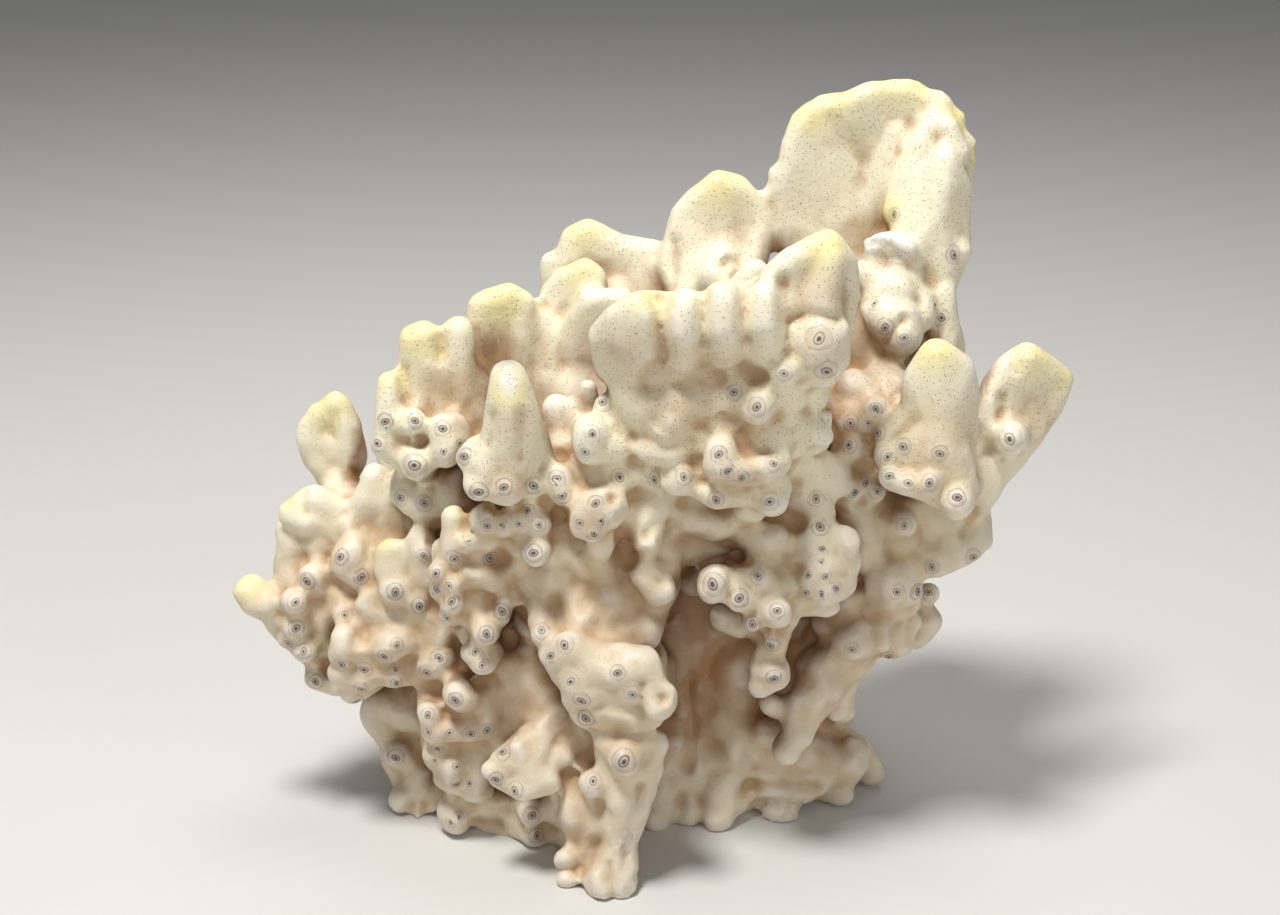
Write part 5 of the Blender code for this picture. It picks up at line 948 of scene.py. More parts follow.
# Painted shade: soft brown patches where the colony lies in shade
SHADED: tuple[tuple[float, ...], ...] = (
    (75, 113, -30, 20), (-31, 120, -43, 11), (-32, 106, -42, 12), (-49, 129, -14, 12), (10, 122, -38, 18),
    (26, 120, -38, 14), (18, 135, -37, 14), (4, 135, -37, 14), (-4, 140, -41, 10), (45, 151, -37, 13),
    (45, 138, -42, 10), (24, 106, -42, 16), (-42, 82, -30, 22), (-33, 94, -33, 14), (-8, 77, -32, 22),
    (-28, 50, -30, 18), (-46, 42, -26, 20), (-60, 60, -22, 20), (-54, 68, -16, 16), (56, 70, -18, 18),
    (46, 56, -20, 16), (-4, 40, -47, 12), (-11, 98, -40, 16), (64, 96, -14, 18), (98, 122, -6, 12),
    (14, 93, -26, 12), (30, 92, -26, 12), (34, 66, -34, 12),
    (-75, 80, -10, 20), (40, 38, -8, 24), (-14, 20, -40, 16), (56, 122, -16, 18),
    (67, 162, -1, 4), (-7, 102, -36, 3), (8, 70, -28, 14), (6, 90, -26, 12), (56, 66, -20, 14),
)
WHITE: tuple[tuple[float, ...], ...] = (
    (58, 167, 2, 5), (62, 167.6, 1, 5), (66, 164.6, 0, 4), (-33, 130.4, -40, 3.6),
)
# Rust stains in the hollows, which also paint shade into the deepest of them
RUST_AND_SHADE: tuple[tuple[float, ...], ...] = (
    (22, 60, 2, 34), (16, 40, -2, 22), (30, 40, 0, 22), (22, 28, -4, 20), (-32, 67, -4, 14),
    (22, 160, 16, 5), (14, 26, -12, 7), (48, 74, -10, 6), (79, 102, -30, 4),
)
GREENISH: tuple[tuple[float, ...], ...] = ((-76, 65, -10, 10), (-14, 145, 6, 10), (66, 114, -26, 6))
GREYED: tuple[tuple[float, ...], ...] = ((-33, 135.5, -36, 5), (-75, 54.5, -14, 4))
BROKEN: tuple[tuple[float, ...], ...] = (
    (58, 165, 4, 7), (64, 163, 2, 5), (45, 117, -31, 6), (36, 24, -10, 13), (-3, 16, -47, 6),
    (-3, 6, -48, 6), (52, 26, -2, 9), (20, 20, -14, 9),
)


class Quality(Enum):
    """How finely the skin is woven."""

    DRAFT = 1.1
    FULL = 0.66


@dataclass(frozen=True)
class Tint:
    """A linear colour."""

    red: float
    green: float
    blue: float

    def rgba(self) -> tuple[float, float, float, float]:
        """The colour with full opacity."""
        return (self.red, self.green, self.blue, 1.0)


@dataclass(frozen=True)
class CoralPalette:
    """The shades of a dry colony."""

    ivory: Tint = Tint(0.80, 0.74, 0.55)
    yellow: Tint = Tint(0.84, 0.74, 0.32)
    # Painted shade: the lower parts are tinted darker
    tan: Tint = Tint(0.62, 0.51, 0.37)
    # Painted shade for the shaded patches
    shade_brown: Tint = Tint(0.50, 0.33, 0.19)
    # Painted shade for hollows and creases
    hollow_shade: Tint = Tint(0.46, 0.30, 0.155)
    # Painted shade for the deepest hollows
    cave_shade: Tint = Tint(0.23, 0.11, 0.045)
    # Rust stain, dark enough to stand for painted shade in deep hollows
    rust_and_shade: Tint = Tint(0.40, 0.20, 0.08)
    # Chalky white of broken spots, the white patches and barnacle rims, and painted highlight on ridges
    chalk_and_highlight: Tint = Tint(0.86, 0.83, 0.76)
    lilac: Tint = Tint(0.46, 0.39, 0.34)
    ring: Tint = Tint(0.09, 0.065, 0.06)
    pore: Tint = Tint(0.36, 0.27, 0.12)
    green: Tint = Tint(0.45, 0.47, 0.28)
    grey: Tint = Tint(0.30, 0.31, 0.26)


def column(mesh: bpy.types.Mesh, normals: bool = False) -> Array:
    """What a mesh's points hold, as rows of an array.

    Args:
        mesh: the mesh.
        normals: whether their normals are asked for, and not their places.
    """
    source = mesh.vertex_normals if normals else mesh.vertices
    rows = np.empty(len(mesh.vertices) * 3, np.float32)
    source.foreach_get("vector" if normals else "co", rows)
    return rows.reshape(-1, 3).astype(np.float64)


def move(mesh: bpy.types.Mesh, places: Array) -> None:
    """Puts a mesh's points at new places."""
    mesh.vertices.foreach_set("co", places.astype(np.float32).ravel())
    mesh.update()


def eased(share: Array) -> Array:
    """A smooth step of values that are cut off at 0 and 1."""
    share = np.clip(share, 0.0, 1.0)
    return share * share * (3.0 - 2.0 * share)


def line_distance(flat: Array, line: Sequence[Sequence[float]]) -> Array:
    """How far each place of the picture plane lies from a line.

    Args:
        flat: right and up of each place.
        line: right and up of each of the line's points, or of a single point.
    """
    nearest = np.full(len(flat), FAR)
    for first, last in zip(line, line[1:] or line):
        start = np.array(first)
        run = np.array(last) - start
        share = np.clip((flat - start) @ run / max(run @ run, 1e-6), 0.0, 1.0)
        nearest = np.minimum(nearest, np.linalg.norm(flat - start - share[:, None] * run, axis=1))
    return nearest


def patches(places: Array, spots: Iterable[Sequence[float]]) -> Array:
    """How strongly each place lies in one of the soft patches.

    Args:
        places: one place in each row.
        spots: right, up, deep and reach of each patch.

    Returns:
        1 at a patch's middle, falling softly to 0 at its reach.
    """
    strongest = np.zeros(len(places))
    for right, up, deep, reach in spots:
        middle = np.array(SIGHT.spot(right, up, deep))
        away = np.linalg.norm(places - middle, axis=1)
        strongest = np.maximum(strongest, eased(1.0 - away / reach))
    return strongest


@dataclass
class Skin:
    """The fused skin while it is being shaped."""

    obj: bpy.types.Object

    @property
    def mesh(self) -> bpy.types.Mesh:
        """The skin's mesh."""
        return self.obj.data

    def settle(self) -> None:
        """Turns the modifiers into the mesh."""
        graph = bpy.context.evaluated_depsgraph_get()
        mesh = bpy.data.meshes.new_from_object(self.obj.evaluated_get(graph))
        self.obj.modifiers.clear()
        old = self.obj.data
        self.obj.data = mesh
        bpy.data.meshes.remove(old)

    def reweave(self, voxel: float) -> None:
        """Fuses all that overlaps into one even weave.

        Args:
            voxel: how wide its meshes are.
        """
        fuse = self.obj.modifiers.new("fuse", "REMESH")
        fuse.mode = "VOXEL"
        fuse.voxel_size = voxel
        self.settle()

    def soften(self, rounds: int) -> None:
        """Wears the skin smooth.

        Args:
            rounds: how often each point moves half way to its neighbours' middle.
        """
        soften = self.obj.modifiers.new("soften", "SMOOTH")
        soften.factor = 0.5
        soften.iterations = rounds
        self.settle()

    def furrow(self, rounds: int, strength: float, deepest: float) -> None:
        """Deepens the creases between lumps and leaves the lumps as they are.

        Args:
            rounds: how far round each point the skin is averaged.
            strength: how much deeper than that average a crease goes.
            deepest: the most that any point sinks.
        """
        places = column(self.mesh)
        normals = column(self.mesh, normals=True)
        self.soften(rounds)
        sunk = np.einsum("ij,ij->i", places - column(self.mesh), normals)
        depth = np.clip(sunk * strength, -deepest, 0.0)
        move(self.mesh, places + normals * depth[:, None])

    def swell(self, height: float | Array) -> None:
        """Moves each point out along its normal, by one height or by its own."""
        lift = np.asarray(height, dtype=np.float64)
        if lift.ndim:
            lift = lift[:, None]
        move(self.mesh, column(self.mesh) + column(self.mesh, normals=True) * lift)

    def press(self, creases: Iterable[Sequence]) -> None:
        """Presses grooves and pits into what the eye sees of the skin.

        Args:
            creases: depth, width and the points of each groove, or the one point of a pit.
        """
        places = column(self.mesh)
        flat, rays = SIGHT.flatten(places)
        tree = self.tree()
        for depth, width, *line in creases:
            away = line_distance(flat, line)
            for index in np.nonzero(away < width * 2.2)[0]:
                ray = Vector(rays[index])
                hit = tree.ray_cast(SIGHT.eye, ray.normalized())[3]
                if hit is not None and hit > ray.length - IN_SIGHT:
                    push = depth * math.exp(-HALVED * (away[index] / width) ** 2)
                    places[index] += np.array(SIGHT.forward) * push
        move(self.mesh, places)

    def relief(self, rounds: int) -> Array:
        """How far each point stands out of the skin averaged around it.

        Args:
            rounds: how far round each point the skin is averaged.

        Returns:
            The heights, which are negative where a point lies in a crease.
        """
        worn = Skin(self.obj.copy())
        worn.obj.data = self.mesh.copy()
        bpy.context.scene.collection.objects.link(worn.obj)
        worn.soften(rounds)
        normals = column(self.mesh, normals=True)
        found = np.einsum("ij,ij->i", column(self.mesh) - column(worn.mesh), normals)
        bpy.data.objects.remove(worn.obj)
        return found

    def thin(self, most: int) -> None:
        """Spends the skin's triangles where it bends.

        Args:
            most: how many it may keep.
        """
        triangles = sum(len(face.vertices) - 2 for face in self.mesh.polygons)
        if triangles > most:
            thin = self.obj.modifiers.new("thin", "DECIMATE")
            thin.ratio = most / triangles
            self.settle()

    def tree(self) -> BVHTree:
        """A tree of the skin as it is now."""
        return BVHTree.FromObject(self.obj, bpy.context.evaluated_depsgraph_get())

    def hold(self, low: Array, high: Array) -> None:
        """Keeps every point between two corners."""
        move(self.mesh, np.clip(column(self.mesh), low, high))


@dataclass
class Grower:
    """Grows the fused skin from the forks' balls.

    The skin is woven over balls that are too large and then drawn back in, which fills
    every crease with a fillet, as live coral does.
    """

    forks: dict[str, list[list[Link]]]
    voxel: float
    fillet: float = 1.2
    ball_detail: int = 3

    def hull(self, balls: Link) -> bpy.types.Mesh:
        """The tight skin round a link.

        Args:
            balls: its one, two or three balls.
        """
        form = bmesh.new()
        for ball in balls:
            bmesh.ops.create_icosphere(
                form,
                subdivisions=self.ball_detail,
                radius=ball.radius + self.fillet,
                matrix=Matrix.Translation(ball.centre),
            )
        if len(balls) > 1:
            bmesh.ops.delete(form, geom=form.edges[:] + form.faces[:], context="EDGES_FACES")
            found = bmesh.ops.convex_hull(form, input=form.verts[:])
            inner = [item for item in found["geom_interior"] if isinstance(item, bmesh.types.BMVert)]
            bmesh.ops.delete(form, geom=inner, context="VERTS")
        bmesh.ops.recalc_face_normals(form, faces=form.faces[:])
        mesh = bpy.data.meshes.new("link")
        form.to_mesh(mesh)
        form.free()
        return mesh

    def rough_skin(self) -> Skin:
        """All hulls in one mesh."""
        rough = bmesh.new()
        for parts in self.forks.values():
            for balls in (link for part in parts for link in part):
                mesh = self.hull(balls)
                rough.from_mesh(mesh)
                bpy.data.meshes.remove(mesh)
        mesh = bpy.data.meshes.new("skin")
        rough.to_mesh(mesh)
        rough.free()
        obj = bpy.data.objects.new("skin", mesh)
        bpy.context.scene.collection.objects.link(obj)
        return Skin(obj)

    def grow(self) -> Skin:
        """The whole skin, closed and worn smooth."""
        skin = self.rough_skin()
        skin.reweave(self.voxel * 1.2)
        skin.soften(2)
        skin.swell(-self.fillet)
        skin.furrow(rounds=round(5.0 / self.voxel**2), strength=1.4, deepest=1.4)
        for creases in CREASES.values():
            skin.press(creases)
        skin.reweave(self.voxel)
        skin.soften(2)
        return skin


def waves(places: Array, length: float, seed: float) -> Array:
    """Smooth noise from -1 to 1.

    Args:
        places: one place in each row.
        length: about how long its waves are.
        seed: which of the endless noises it is.
    """
    scale = 1.0 / length
    offset = Vector((seed, seed * 0.7, -seed))
    found = (noise.noise(Vector(place) * scale + offset) for place in places)
    return np.fromiter(found, np.float64, len(places))


@dataclass(frozen=True)
class Barnacle:
    """One barnacle in the skin: where it sits, how it faces and the size of its outer ring."""

    centre: Vector
    facing: Vector
    radius: float
    turn: float
    tone: float

    def axes(self) -> tuple[Vector, Vector, Vector]:
        """Across its slit, along its slit and out of the skin."""
        side = self.facing.orthogonal().normalized()
        side.rotate(Matrix.Rotation(self.turn, 3, self.facing))
        return side, self.facing.cross(side), self.facing


@dataclass(frozen=True)
class Ripple:
    """One ring of a barnacle's relief: its height, and its place and width in ring radii."""

    lift: float
    place: float
    width: float

    def over(self, nearness: Array) -> Array:
        """Its height at each distance from the middle."""
        return self.lift * np.exp(-(((nearness - self.place) / self.width) ** 2))


@dataclass(frozen=True)
class BarnacleForm:
    """The sizes that all the barnacles share."""

    front_radii: tuple[float, float] = (1.95, 2.3)
    back_radii: tuple[float, float] = (1.8, 2.4)
    least_radius: float = 1.6
    mound_spread: float = 1.45
    groove: Ripple = Ripple(-0.16, 1.0, 0.12)
    dish: Ripple = Ripple(-0.25, 0.62, 0.24)
    rim: Ripple = Ripple(0.14, 0.36, 0.11)
    mouth: Ripple = Ripple(-0.7, 0.0, 0.2)


@dataclass
class BarnacleBed:
    """All the barnacles on a skin, and what they do to it."""

    skin: Skin
    form: BarnacleForm = BarnacleForm()
    lowest: float = 8.0
    highest: float = 112.0
    barnacles: list[Barnacle] = field(default_factory=list)
    dice: random.Random = field(default_factory=lambda: random.Random(11))

    def settle_front(self, spots: Iterable[Sequence[float]]) -> None:
        """Sets one barnacle wherever the eye sees one in the photograph.

        Args:
            spots: right and up of each barnacle and, where it isn't a common one, its radius.
        """
        tree = self.skin.tree()
        for right, up, *size in spots:
            direction = SIGHT.ray(right, up).normalized()
            place, _, _, _ = tree.ray_cast(SIGHT.eye, direction)
            if place is None:
                log.warning("no skin under the barnacle at %s, %s", right, up)
                continue
            self._add(tree, place, size[0] if size else self.dice.uniform(*self.form.front_radii))
        self._make_room()

    def _make_room(self) -> None:
        """Shrinks barnacles that would lie over one another."""
        centres = np.array([barnacle.centre for barnacle in self.barnacles])
        for index, barnacle in enumerate(self.barnacles):
            away = np.linalg.norm(centres - centres[index], axis=1)
            away[index] = FAR
            radius = min(barnacle.radius, max(self.form.least_radius, away.min() * 0.52))
            self.barnacles[index] = replace(barnacle, radius=radius)

    def settle_back(self, count: int, apart: float) -> None:
        """Scatters barnacles over what the photograph doesn't show.

        Args:
            count: how many at most.
            apart: the least distance between two of them.
        """
        tree = self.skin.tree()
        places = column(self.skin.mesh)
        normals = column(self.skin.mesh, normals=True)
        eye = SIGHT.eye
        taken = [barnacle.centre for barnacle in self.barnacles]
        added = 0
        for _ in range(count * 60):
            if added == count:
                break
            index = self.dice.randrange(len(places))
            place = Vector(places[index])
            ragged_top = self.highest + 12.0 * noise.noise(place * 0.05)
            if normals[index, 1] < 0.1 or not self.lowest < place.z < ragged_top:
                continue
            if noise.noise(place * 0.035 + Vector((3.0, 9.0, 1.0))) < -0.12:
                continue
            if any((place - other).length < apart for other in taken):
                continue
            hit, _, _, _ = tree.ray_cast(eye, (place - eye).normalized())
            if hit is not None and (hit - place).length < 4.0:
                continue
            self._add(tree, place, self.dice.uniform(*self.form.back_radii))
            taken.append(place)
            added += 1

    def _add(self, tree: BVHTree, place: Vector, radius: float) -> None:
        """Adds a barnacle that faces as the skin does around it.

        Args:
            tree: the skin's tree.
            place: the barnacle's middle.
            radius: the radius of its outer ring.
        """
        facing = Vector()
        for _, normal, _, _ in tree.find_nearest_range(place, radius * 0.8):
            facing += normal
        facing = facing.normalized() if facing.length else Vector((0.0, -1.0, 0.0))
        turn = self.dice.uniform(0.0, math.pi)
        self.barnacles.append(Barnacle(place, facing, radius, turn, self.dice.random()))

    def measure(self) -> tuple[Array, Array, Array]:
        """Each point's distance from its nearest barnacle and its offset from it, in ring radii.

        Returns:
            The distances, the offsets, and the number of the nearest barnacle or -1.
        """
        places = column(self.skin.mesh)
        nearness = np.full(len(places), 4.0)
        offset = np.full((len(places), 3), 4.0)
        owner = np.full(len(places), -1)
        for number, barnacle in enumerate(self.barnacles):
            away = places - np.array(barnacle.centre)
            near = np.nonzero(np.einsum("ij,ij->i", away, away) < (barnacle.radius * 4.0) ** 2)[0]
            local = away[near] @ np.array(barnacle.axes()).T / barnacle.radius
            distance = np.linalg.norm(local, axis=1)
            closer = distance < nearness[near]
            nearness[near[closer]] = distance[closer]
            offset[near[closer]] = local[closer]
            owner[near[closer]] = number
        return nearness, offset, owner

    def seams(self, owner: Array) -> Array:
        """Which points have a neighbour that belongs to another barnacle.

        Args:
            owner: the number of each point's nearest barnacle.
        """
        mesh = self.skin.mesh
        ends = np.empty(len(mesh.edges) * 2, np.int32)
        mesh.edges.foreach_get("vertices", ends)
        ends = ends.reshape(-1, 2)
        apart = ends[owner[ends[:, 0]] != owner[ends[:, 1]]]
        found = np.zeros(len(owner), bool)
        found[apart.ravel()] = True
        return found

    def raise_reliefs(self) -> None:
        """Lifts each barnacle's mound, with its groove, rim and mouth."""
        places = column(self.skin.mesh)
        mounds = np.zeros(len(places))
        for barnacle in self.barnacles:
            away = places - np.array(barnacle.centre)
            spread = (barnacle.radius * self.form.mound_spread) ** 2
            mounds += np.exp(-3.0 * np.einsum("ij,ij->i", away, away) / spread)
        self.skin.swell(np.cbrt(mounds))
        nearness, _, _ = self.measure()
        ripples = (self.form.groove, self.form.dish, self.form.rim, self.form.mouth)
        self.skin.swell(sum(ripple.over(nearness) for ripple in ripples))


@dataclass
class Openness:
    """How open each point of a skin is to its surroundings, measured by casting rays."""

    skin: Skin
    samples: int = 9000
    rays: int = 28
    near: float = 9.0
    far: float = 70.0
    clearance: float = 0.6
    neighbours: int = 5
    even: list[Vector] = field(init=False, default_factory=list)

    def __post_init__(self) -> None:
        """Lays out even directions over a ball."""
        golden = math.pi * (3.0 - math.sqrt(5.0))
        for step in range(self.rays * 2):
            height = 1.0 - (step + 0.5) / self.rays
            span = math.sqrt(1.0 - height * height)
            turn = golden * step
            self.even.append(Vector((math.cos(turn) * span, math.sin(turn) * span, height)))

    def measure(self) -> tuple[Array, Array]:
        """Casts rays from a sample of the points and spreads what they meet over all.

        Returns:
            The share of near and the share of far surroundings that is blocked, at each point.
        """
        places = column(self.skin.mesh)
        normals = column(self.skin.mesh, normals=True)
        tree = self.skin.tree()
        stride = max(1, len(places) // self.samples)
        chosen = range(0, len(places), stride)
        lookup = KDTree(len(chosen))
        blocked = np.zeros((len(chosen), 2))
        for row, index in enumerate(chosen):
            normal = Vector(normals[index])
            start = Vector(places[index]) + normal * self.clearance
            lookup.insert(start, row)
            weight = 0.0
            for direction in self.directions_toward(normal):
                slant = direction.dot(normal)
                weight += slant
                _, _, _, distance = tree.ray_cast(start, direction, self.far)
                if distance is not None:
                    blocked[row, 0] += slant * (distance < self.near)
                    blocked[row, 1] += slant
            blocked[row] /= max(weight, 1e-6)
        lookup.balance()
        spread = np.empty((len(places), 2))
        for index, place in enumerate(places):
            found = lookup.find_n(place, self.neighbours)
            shares = np.array([1.0 / (distance + 0.5) for _, _, distance in found])
            rows = [row for _, row, _ in found]
            spread[index] = shares @ blocked[rows] / shares.sum()
        return spread[:, 0], spread[:, 1]

    def directions_toward(self, normal: Vector) -> list[Vector]:
        """The even directions on the normal's side."""
        return [direction for direction in self.even if direction.dot(normal) > 0.1]


def link_or_set(tree: bpy.types.NodeTree, socket: bpy.types.NodeSocket, value: object) -> None:
    """Feeds a socket from another node, or sets it.

    Args:
        tree: the nodes that it is among.
        socket: the socket.
        value: a wire that feeds it, or a tint or a plain value that it is set to.
    """
    if isinstance(value, Wire):
        tree.links.new(value.socket, socket)
    elif isinstance(value, Tint):
        socket.default_value = value.rgba()
    else:
        socket.default_value = value


@dataclass(frozen=True, eq=False)
class Wire:
    """A shader output that takes part in Python arithmetic."""

    graph: "Graph"
    socket: bpy.types.NodeSocket

    def _with(self, operation: str, *others: "Wire | float") -> "Wire":
        """The outcome of one sum that starts with this value."""
        return self.graph.maths(operation, self, *others)

    def __add__(self, other: "Wire | float") -> "Wire":
        """This value plus another."""
        return self._with("ADD", other)

    def __radd__(self, other: float) -> "Wire":
        """A number plus this value."""
        return self.graph.maths("ADD", other, self)

    def __sub__(self, other: "Wire | float") -> "Wire":
        """This value less another."""
        return self._with("SUBTRACT", other)

    def __rsub__(self, other: float) -> "Wire":
        """A number less this value."""
        return self.graph.maths("SUBTRACT", other, self)

    def __mul__(self, other: "Wire | float") -> "Wire":
        """This value times another."""
        return self._with("MULTIPLY", other)

    def __rmul__(self, other: float) -> "Wire":
        """A number times this value."""
        return self.graph.maths("MULTIPLY", other, self)

    def clamped(self) -> "Wire":
        """The value kept between 0 and 1."""
        return self._with("MINIMUM", 1.0)._with("MAXIMUM", 0.0)

    def step(self, low: float, high: float) -> "Wire":
        """A smooth rise from 0 at low to 1 at high."""
        node = self.graph.node("ShaderNodeMapRange", {"interpolation_type": "SMOOTHSTEP"})
        for name, value in {"Value": self, "From Min": low, "From Max": high}.items():
            link_or_set(self.graph.tree, node.inputs[name], value)
        return Wire(self.graph, node.outputs["Result"])

    def band(self, middle: float, width: float) -> "Wire":
        """A soft line that is 1 at the middle and 0 a width away."""
        away = self._with("SUBTRACT", middle)._with("ABSOLUTE")
        return 1.0 - away.step(width * 0.35, width)


class Graph:
    """A material's nodes."""

    def __init__(self, material: bpy.types.Material) -> None:
        """Starts the nodes of a material afresh."""
        material.use_nodes = True
        self.tree = material.node_tree
        self.tree.nodes.clear()

    def node(
        self,
        kind: str,
        settings: dict[str, object] | None = None,
        inputs: dict[str | int, object] | None = None,
    ) -> bpy.types.Node:
        """A new node.

        Args:
            kind: its type.
            settings: its own properties.
            inputs: what its sockets are set to or fed from, by name or number.

        Returns:
            The node, set and fed.
        """
        node = self.tree.nodes.new(kind)
        for name, value in (settings or {}).items():
            setattr(node, name, value)
        for name, value in (inputs or {}).items():
            link_or_set(self.tree, node.inputs[name], value)
        return node

    def maths(self, operation: str, *values: Wire | float) -> Wire:
        """The outcome of one sum."""
        node = self.node("ShaderNodeMath", {"operation": operation}, dict(enumerate(values)))
        return Wire(self, node.outputs[0])

    def blend(self, share: Wire | float, below: Wire | Tint, above: Wire | Tint) -> Wire:
        """One colour laid over another.

        Args:
            share: how much of the upper colour shows, from 0 to 1.
            below: the lower colour.
            above: the upper colour.
        """
        node = self.node("ShaderNodeMix", {"data_type": "RGBA"}, {0: share, 6: below, 7: above})
        return Wire(self, node.outputs[2])

    def attribute(self, name: str) -> Wire:
        """A number that the skin carries at each point."""
        node = self.node("ShaderNodeAttribute", {"attribute_name": name})
        return Wire(self, node.outputs["Fac"])

    def attribute_parts(self, name: str) -> tuple[Wire, Wire, Wire]:
        """The three parts of a vector that the skin carries at each point."""
        node = self.node("ShaderNodeAttribute", {"attribute_name": name})
        parts = self.node("ShaderNodeSeparateXYZ", inputs={0: Wire(self, node.outputs["Vector"])})
        return tuple(Wire(self, output) for output in parts.outputs)

    def place(self) -> Wire:
        """The point's own coordinates in metres."""
        return Wire(self, self.node("ShaderNodeTexCoord").outputs["Object"])

    def clouds(self, scale: float, detail: float = 4.0, roughness: float = 0.5) -> Wire:
        """Noise between 0 and 1.

        Args:
            scale: how many waves there are to a metre.
            detail: how many finer noises lie over the first.
            roughness: how strong the finer noises are.
        """
        inputs = {"Vector": self.place(), "Scale": scale, "Detail": detail, "Roughness": roughness}
        return Wire(self, self.node("ShaderNodeTexNoise", inputs=inputs).outputs[0])

    def cells(self, scale: float, randomness: float = 1.0) -> Wire:
        """The distance to the nearest of a scatter of points.

        Args:
            scale: how many points there are to a metre.
            randomness: how far they are off an even grid, from 0 to 1.
        """
        inputs = {"Vector": self.place(), "Scale": scale, "Randomness": randomness}
        return Wire(self, self.node("ShaderNodeTexVoronoi", inputs=inputs).outputs["Distance"])

    def bump(self, height: Wire, distance: float) -> Wire:
        """A normal that is tilted by a height.

        Args:
            height: the height at each point.
            distance: how high 1 stands, in metres.
        """
        inputs = {"Height": height, "Distance": distance, "Strength": 1.0}
        return Wire(self, self.node("ShaderNodeBump", inputs=inputs).outputs["Normal"])


@dataclass(frozen=True)
class CoralFinish:
    """Dry ivory limestone with yellow tips, pores, barnacle rings and rust, with painted shade in its
    hollows, creases and lower parts and painted highlight on its ridges.
    """

    palette: CoralPalette = CoralPalette()

    def material(self, name: str) -> bpy.types.Material:
        """The finish as a material."""
        material = bpy.data.materials.new(name)
        graph = Graph(material)
        look = self.palette
        hollow_shade = graph.attribute("hollow_shade")
        deep = graph.attribute("deep")
        near_ring = graph.attribute("ring_near").step(0.55, 0.82)
        across, along, rise = graph.attribute_parts("ring_offset")
        mottle = graph.clouds(110.0)
        grain = graph.clouds(900.0, 5.0)
        uneven = graph.clouds(380.0, 3.0) * 0.5 - 0.25
        ring = graph.maths("SQRT", across * across + along * along + rise * rise) + uneven

        tone = graph.attribute("ring_tone")
        # Painted shade: the colour grows darker towards the bottom
        flesh = graph.blend((graph.attribute("low") * 0.75).clamped(), look.ivory, look.tan)
        # Painted shade: darker where rays from a point meet the skin close by
        shade = graph.blend((hollow_shade * 1.45 + mottle * 0.5 - 0.36).clamped(), flesh, look.hollow_shade)
        # Painted shade: darkest where rays from a point meet the skin even far off
        shade = graph.blend((deep * 2.6 - 0.95).clamped() * 0.9, shade, look.cave_shade)
        # Painted shade: brown laid over the shaded patches
        shade = graph.blend(graph.attribute("shaded") * (mottle * 0.5 + 0.35), shade, look.shade_brown)
        relief = graph.attribute("relief")
        # Painted shade in creases and painted highlight on ridges, from how far the skin stands out of its
        # average
        shade = graph.blend((relief * -3.2 - 0.1).clamped() * 0.8, shade, look.hollow_shade)
        shade = graph.blend((relief * 2.0 - 0.1).clamped() * 0.6, shade, look.chalk_and_highlight)
        tip = (graph.attribute("tip") * (mottle * 0.8 + 0.8)).clamped()
        shade = graph.blend(tip * 0.8, shade, look.yellow)
        shade = graph.blend((graph.attribute("white") * 1.6).clamped(), shade, look.chalk_and_highlight)
        # Rust stain, partly painted shade: stronger where the hollows are deep
        rust_and_shade = (graph.attribute("rust_and_shade") * (mottle * 0.9 + deep * 1.3)).clamped()
        shade = graph.blend(rust_and_shade * 0.9, shade, look.rust_and_shade)
        shade = graph.blend(graph.attribute("green") * mottle, shade, look.green)
        shade = graph.blend(graph.attribute("grey") * 0.8, shade, look.grey)
        broken = graph.attribute("broken")
        shade = graph.blend(broken * 0.75 * grain.step(0.3, 0.6), shade, look.chalk_and_highlight)

        inside = (1.0 - ring.step(0.85, 1.15)) * near_ring
        strength = tone * 0.65 + 0.35
        blotch = graph.clouds(260.0, 4.0, 0.6).step(0.38, 0.62)
        stain = (1.0 - ring.step(0.7, 1.5)) * graph.attribute("ring_near") * blotch * strength
        shade = graph.blend(stain * 0.65, shade, look.lilac)
        outer_line = ring.band(0.95, 0.1) * (grain * 1.3 - 0.05) * near_ring * strength
        inner = graph.maths("SQRT", across * across * 1.7 + along * along) + uneven * 0.35
        middle = (1.0 - ring.step(0.7, 0.9)) * near_ring
        faint_line = ring.band(0.74, 0.08) * near_ring * strength * grain
        inner_line = inner.band(0.47, 0.12) * middle
        slit = (1.0 - inner.step(0.13, 0.3)) * middle
        pale = inner.band(0.33, 0.1) * middle
        core = (1.0 - inner.step(0.36, 0.56)) * middle
        shade = graph.blend((core * (tone * 0.45 + 0.2)).clamped(), shade, look.ring)
        shade = graph.blend((outer_line * 0.55).clamped(), shade, look.ring)
        shade = graph.blend((faint_line * 0.3).clamped(), shade, look.ring)
        shade = graph.blend((inner_line * (tone * 0.4 + 0.35)).clamped(), shade, look.ring)
        shade = graph.blend((pale * 0.25).clamped(), shade, look.chalk_and_highlight)
        shade = graph.blend((slit * 0.96).clamped(), shade, look.ring)

        pore_field = graph.attribute("pores") * (1.0 - inside)
        pore = (1.0 - graph.cells(1250.0, 0.85).step(0.09, 0.22)) * pore_field * (mottle * 1.2 + 0.4)
        shade = graph.blend((pore * 0.75).clamped(), shade, look.pore)

        height = grain * 0.35 + graph.clouds(320.0, 3.0) * 0.6 - pore * 0.6 - outer_line * 0.4
        height = height - inner_line * 0.3 + broken * graph.clouds(1400.0, 5.0, 0.7) * 1.6
        normal = graph.bump(height, 0.00035)
        roughness = (grain * 0.2 + 0.38 + broken * 0.3 + hollow_shade * 0.15).clamped()
        shader = graph.node(
            "ShaderNodeBsdfPrincipled",
            inputs={
                "Base Color": shade,
                "Roughness": roughness,
                "Normal": normal,
                "Specular IOR Level": 0.4,
            },
        )
        surface = Wire(graph, shader.outputs[0])
        graph.node("ShaderNodeOutputMaterial", inputs={"Surface": surface})
        return material


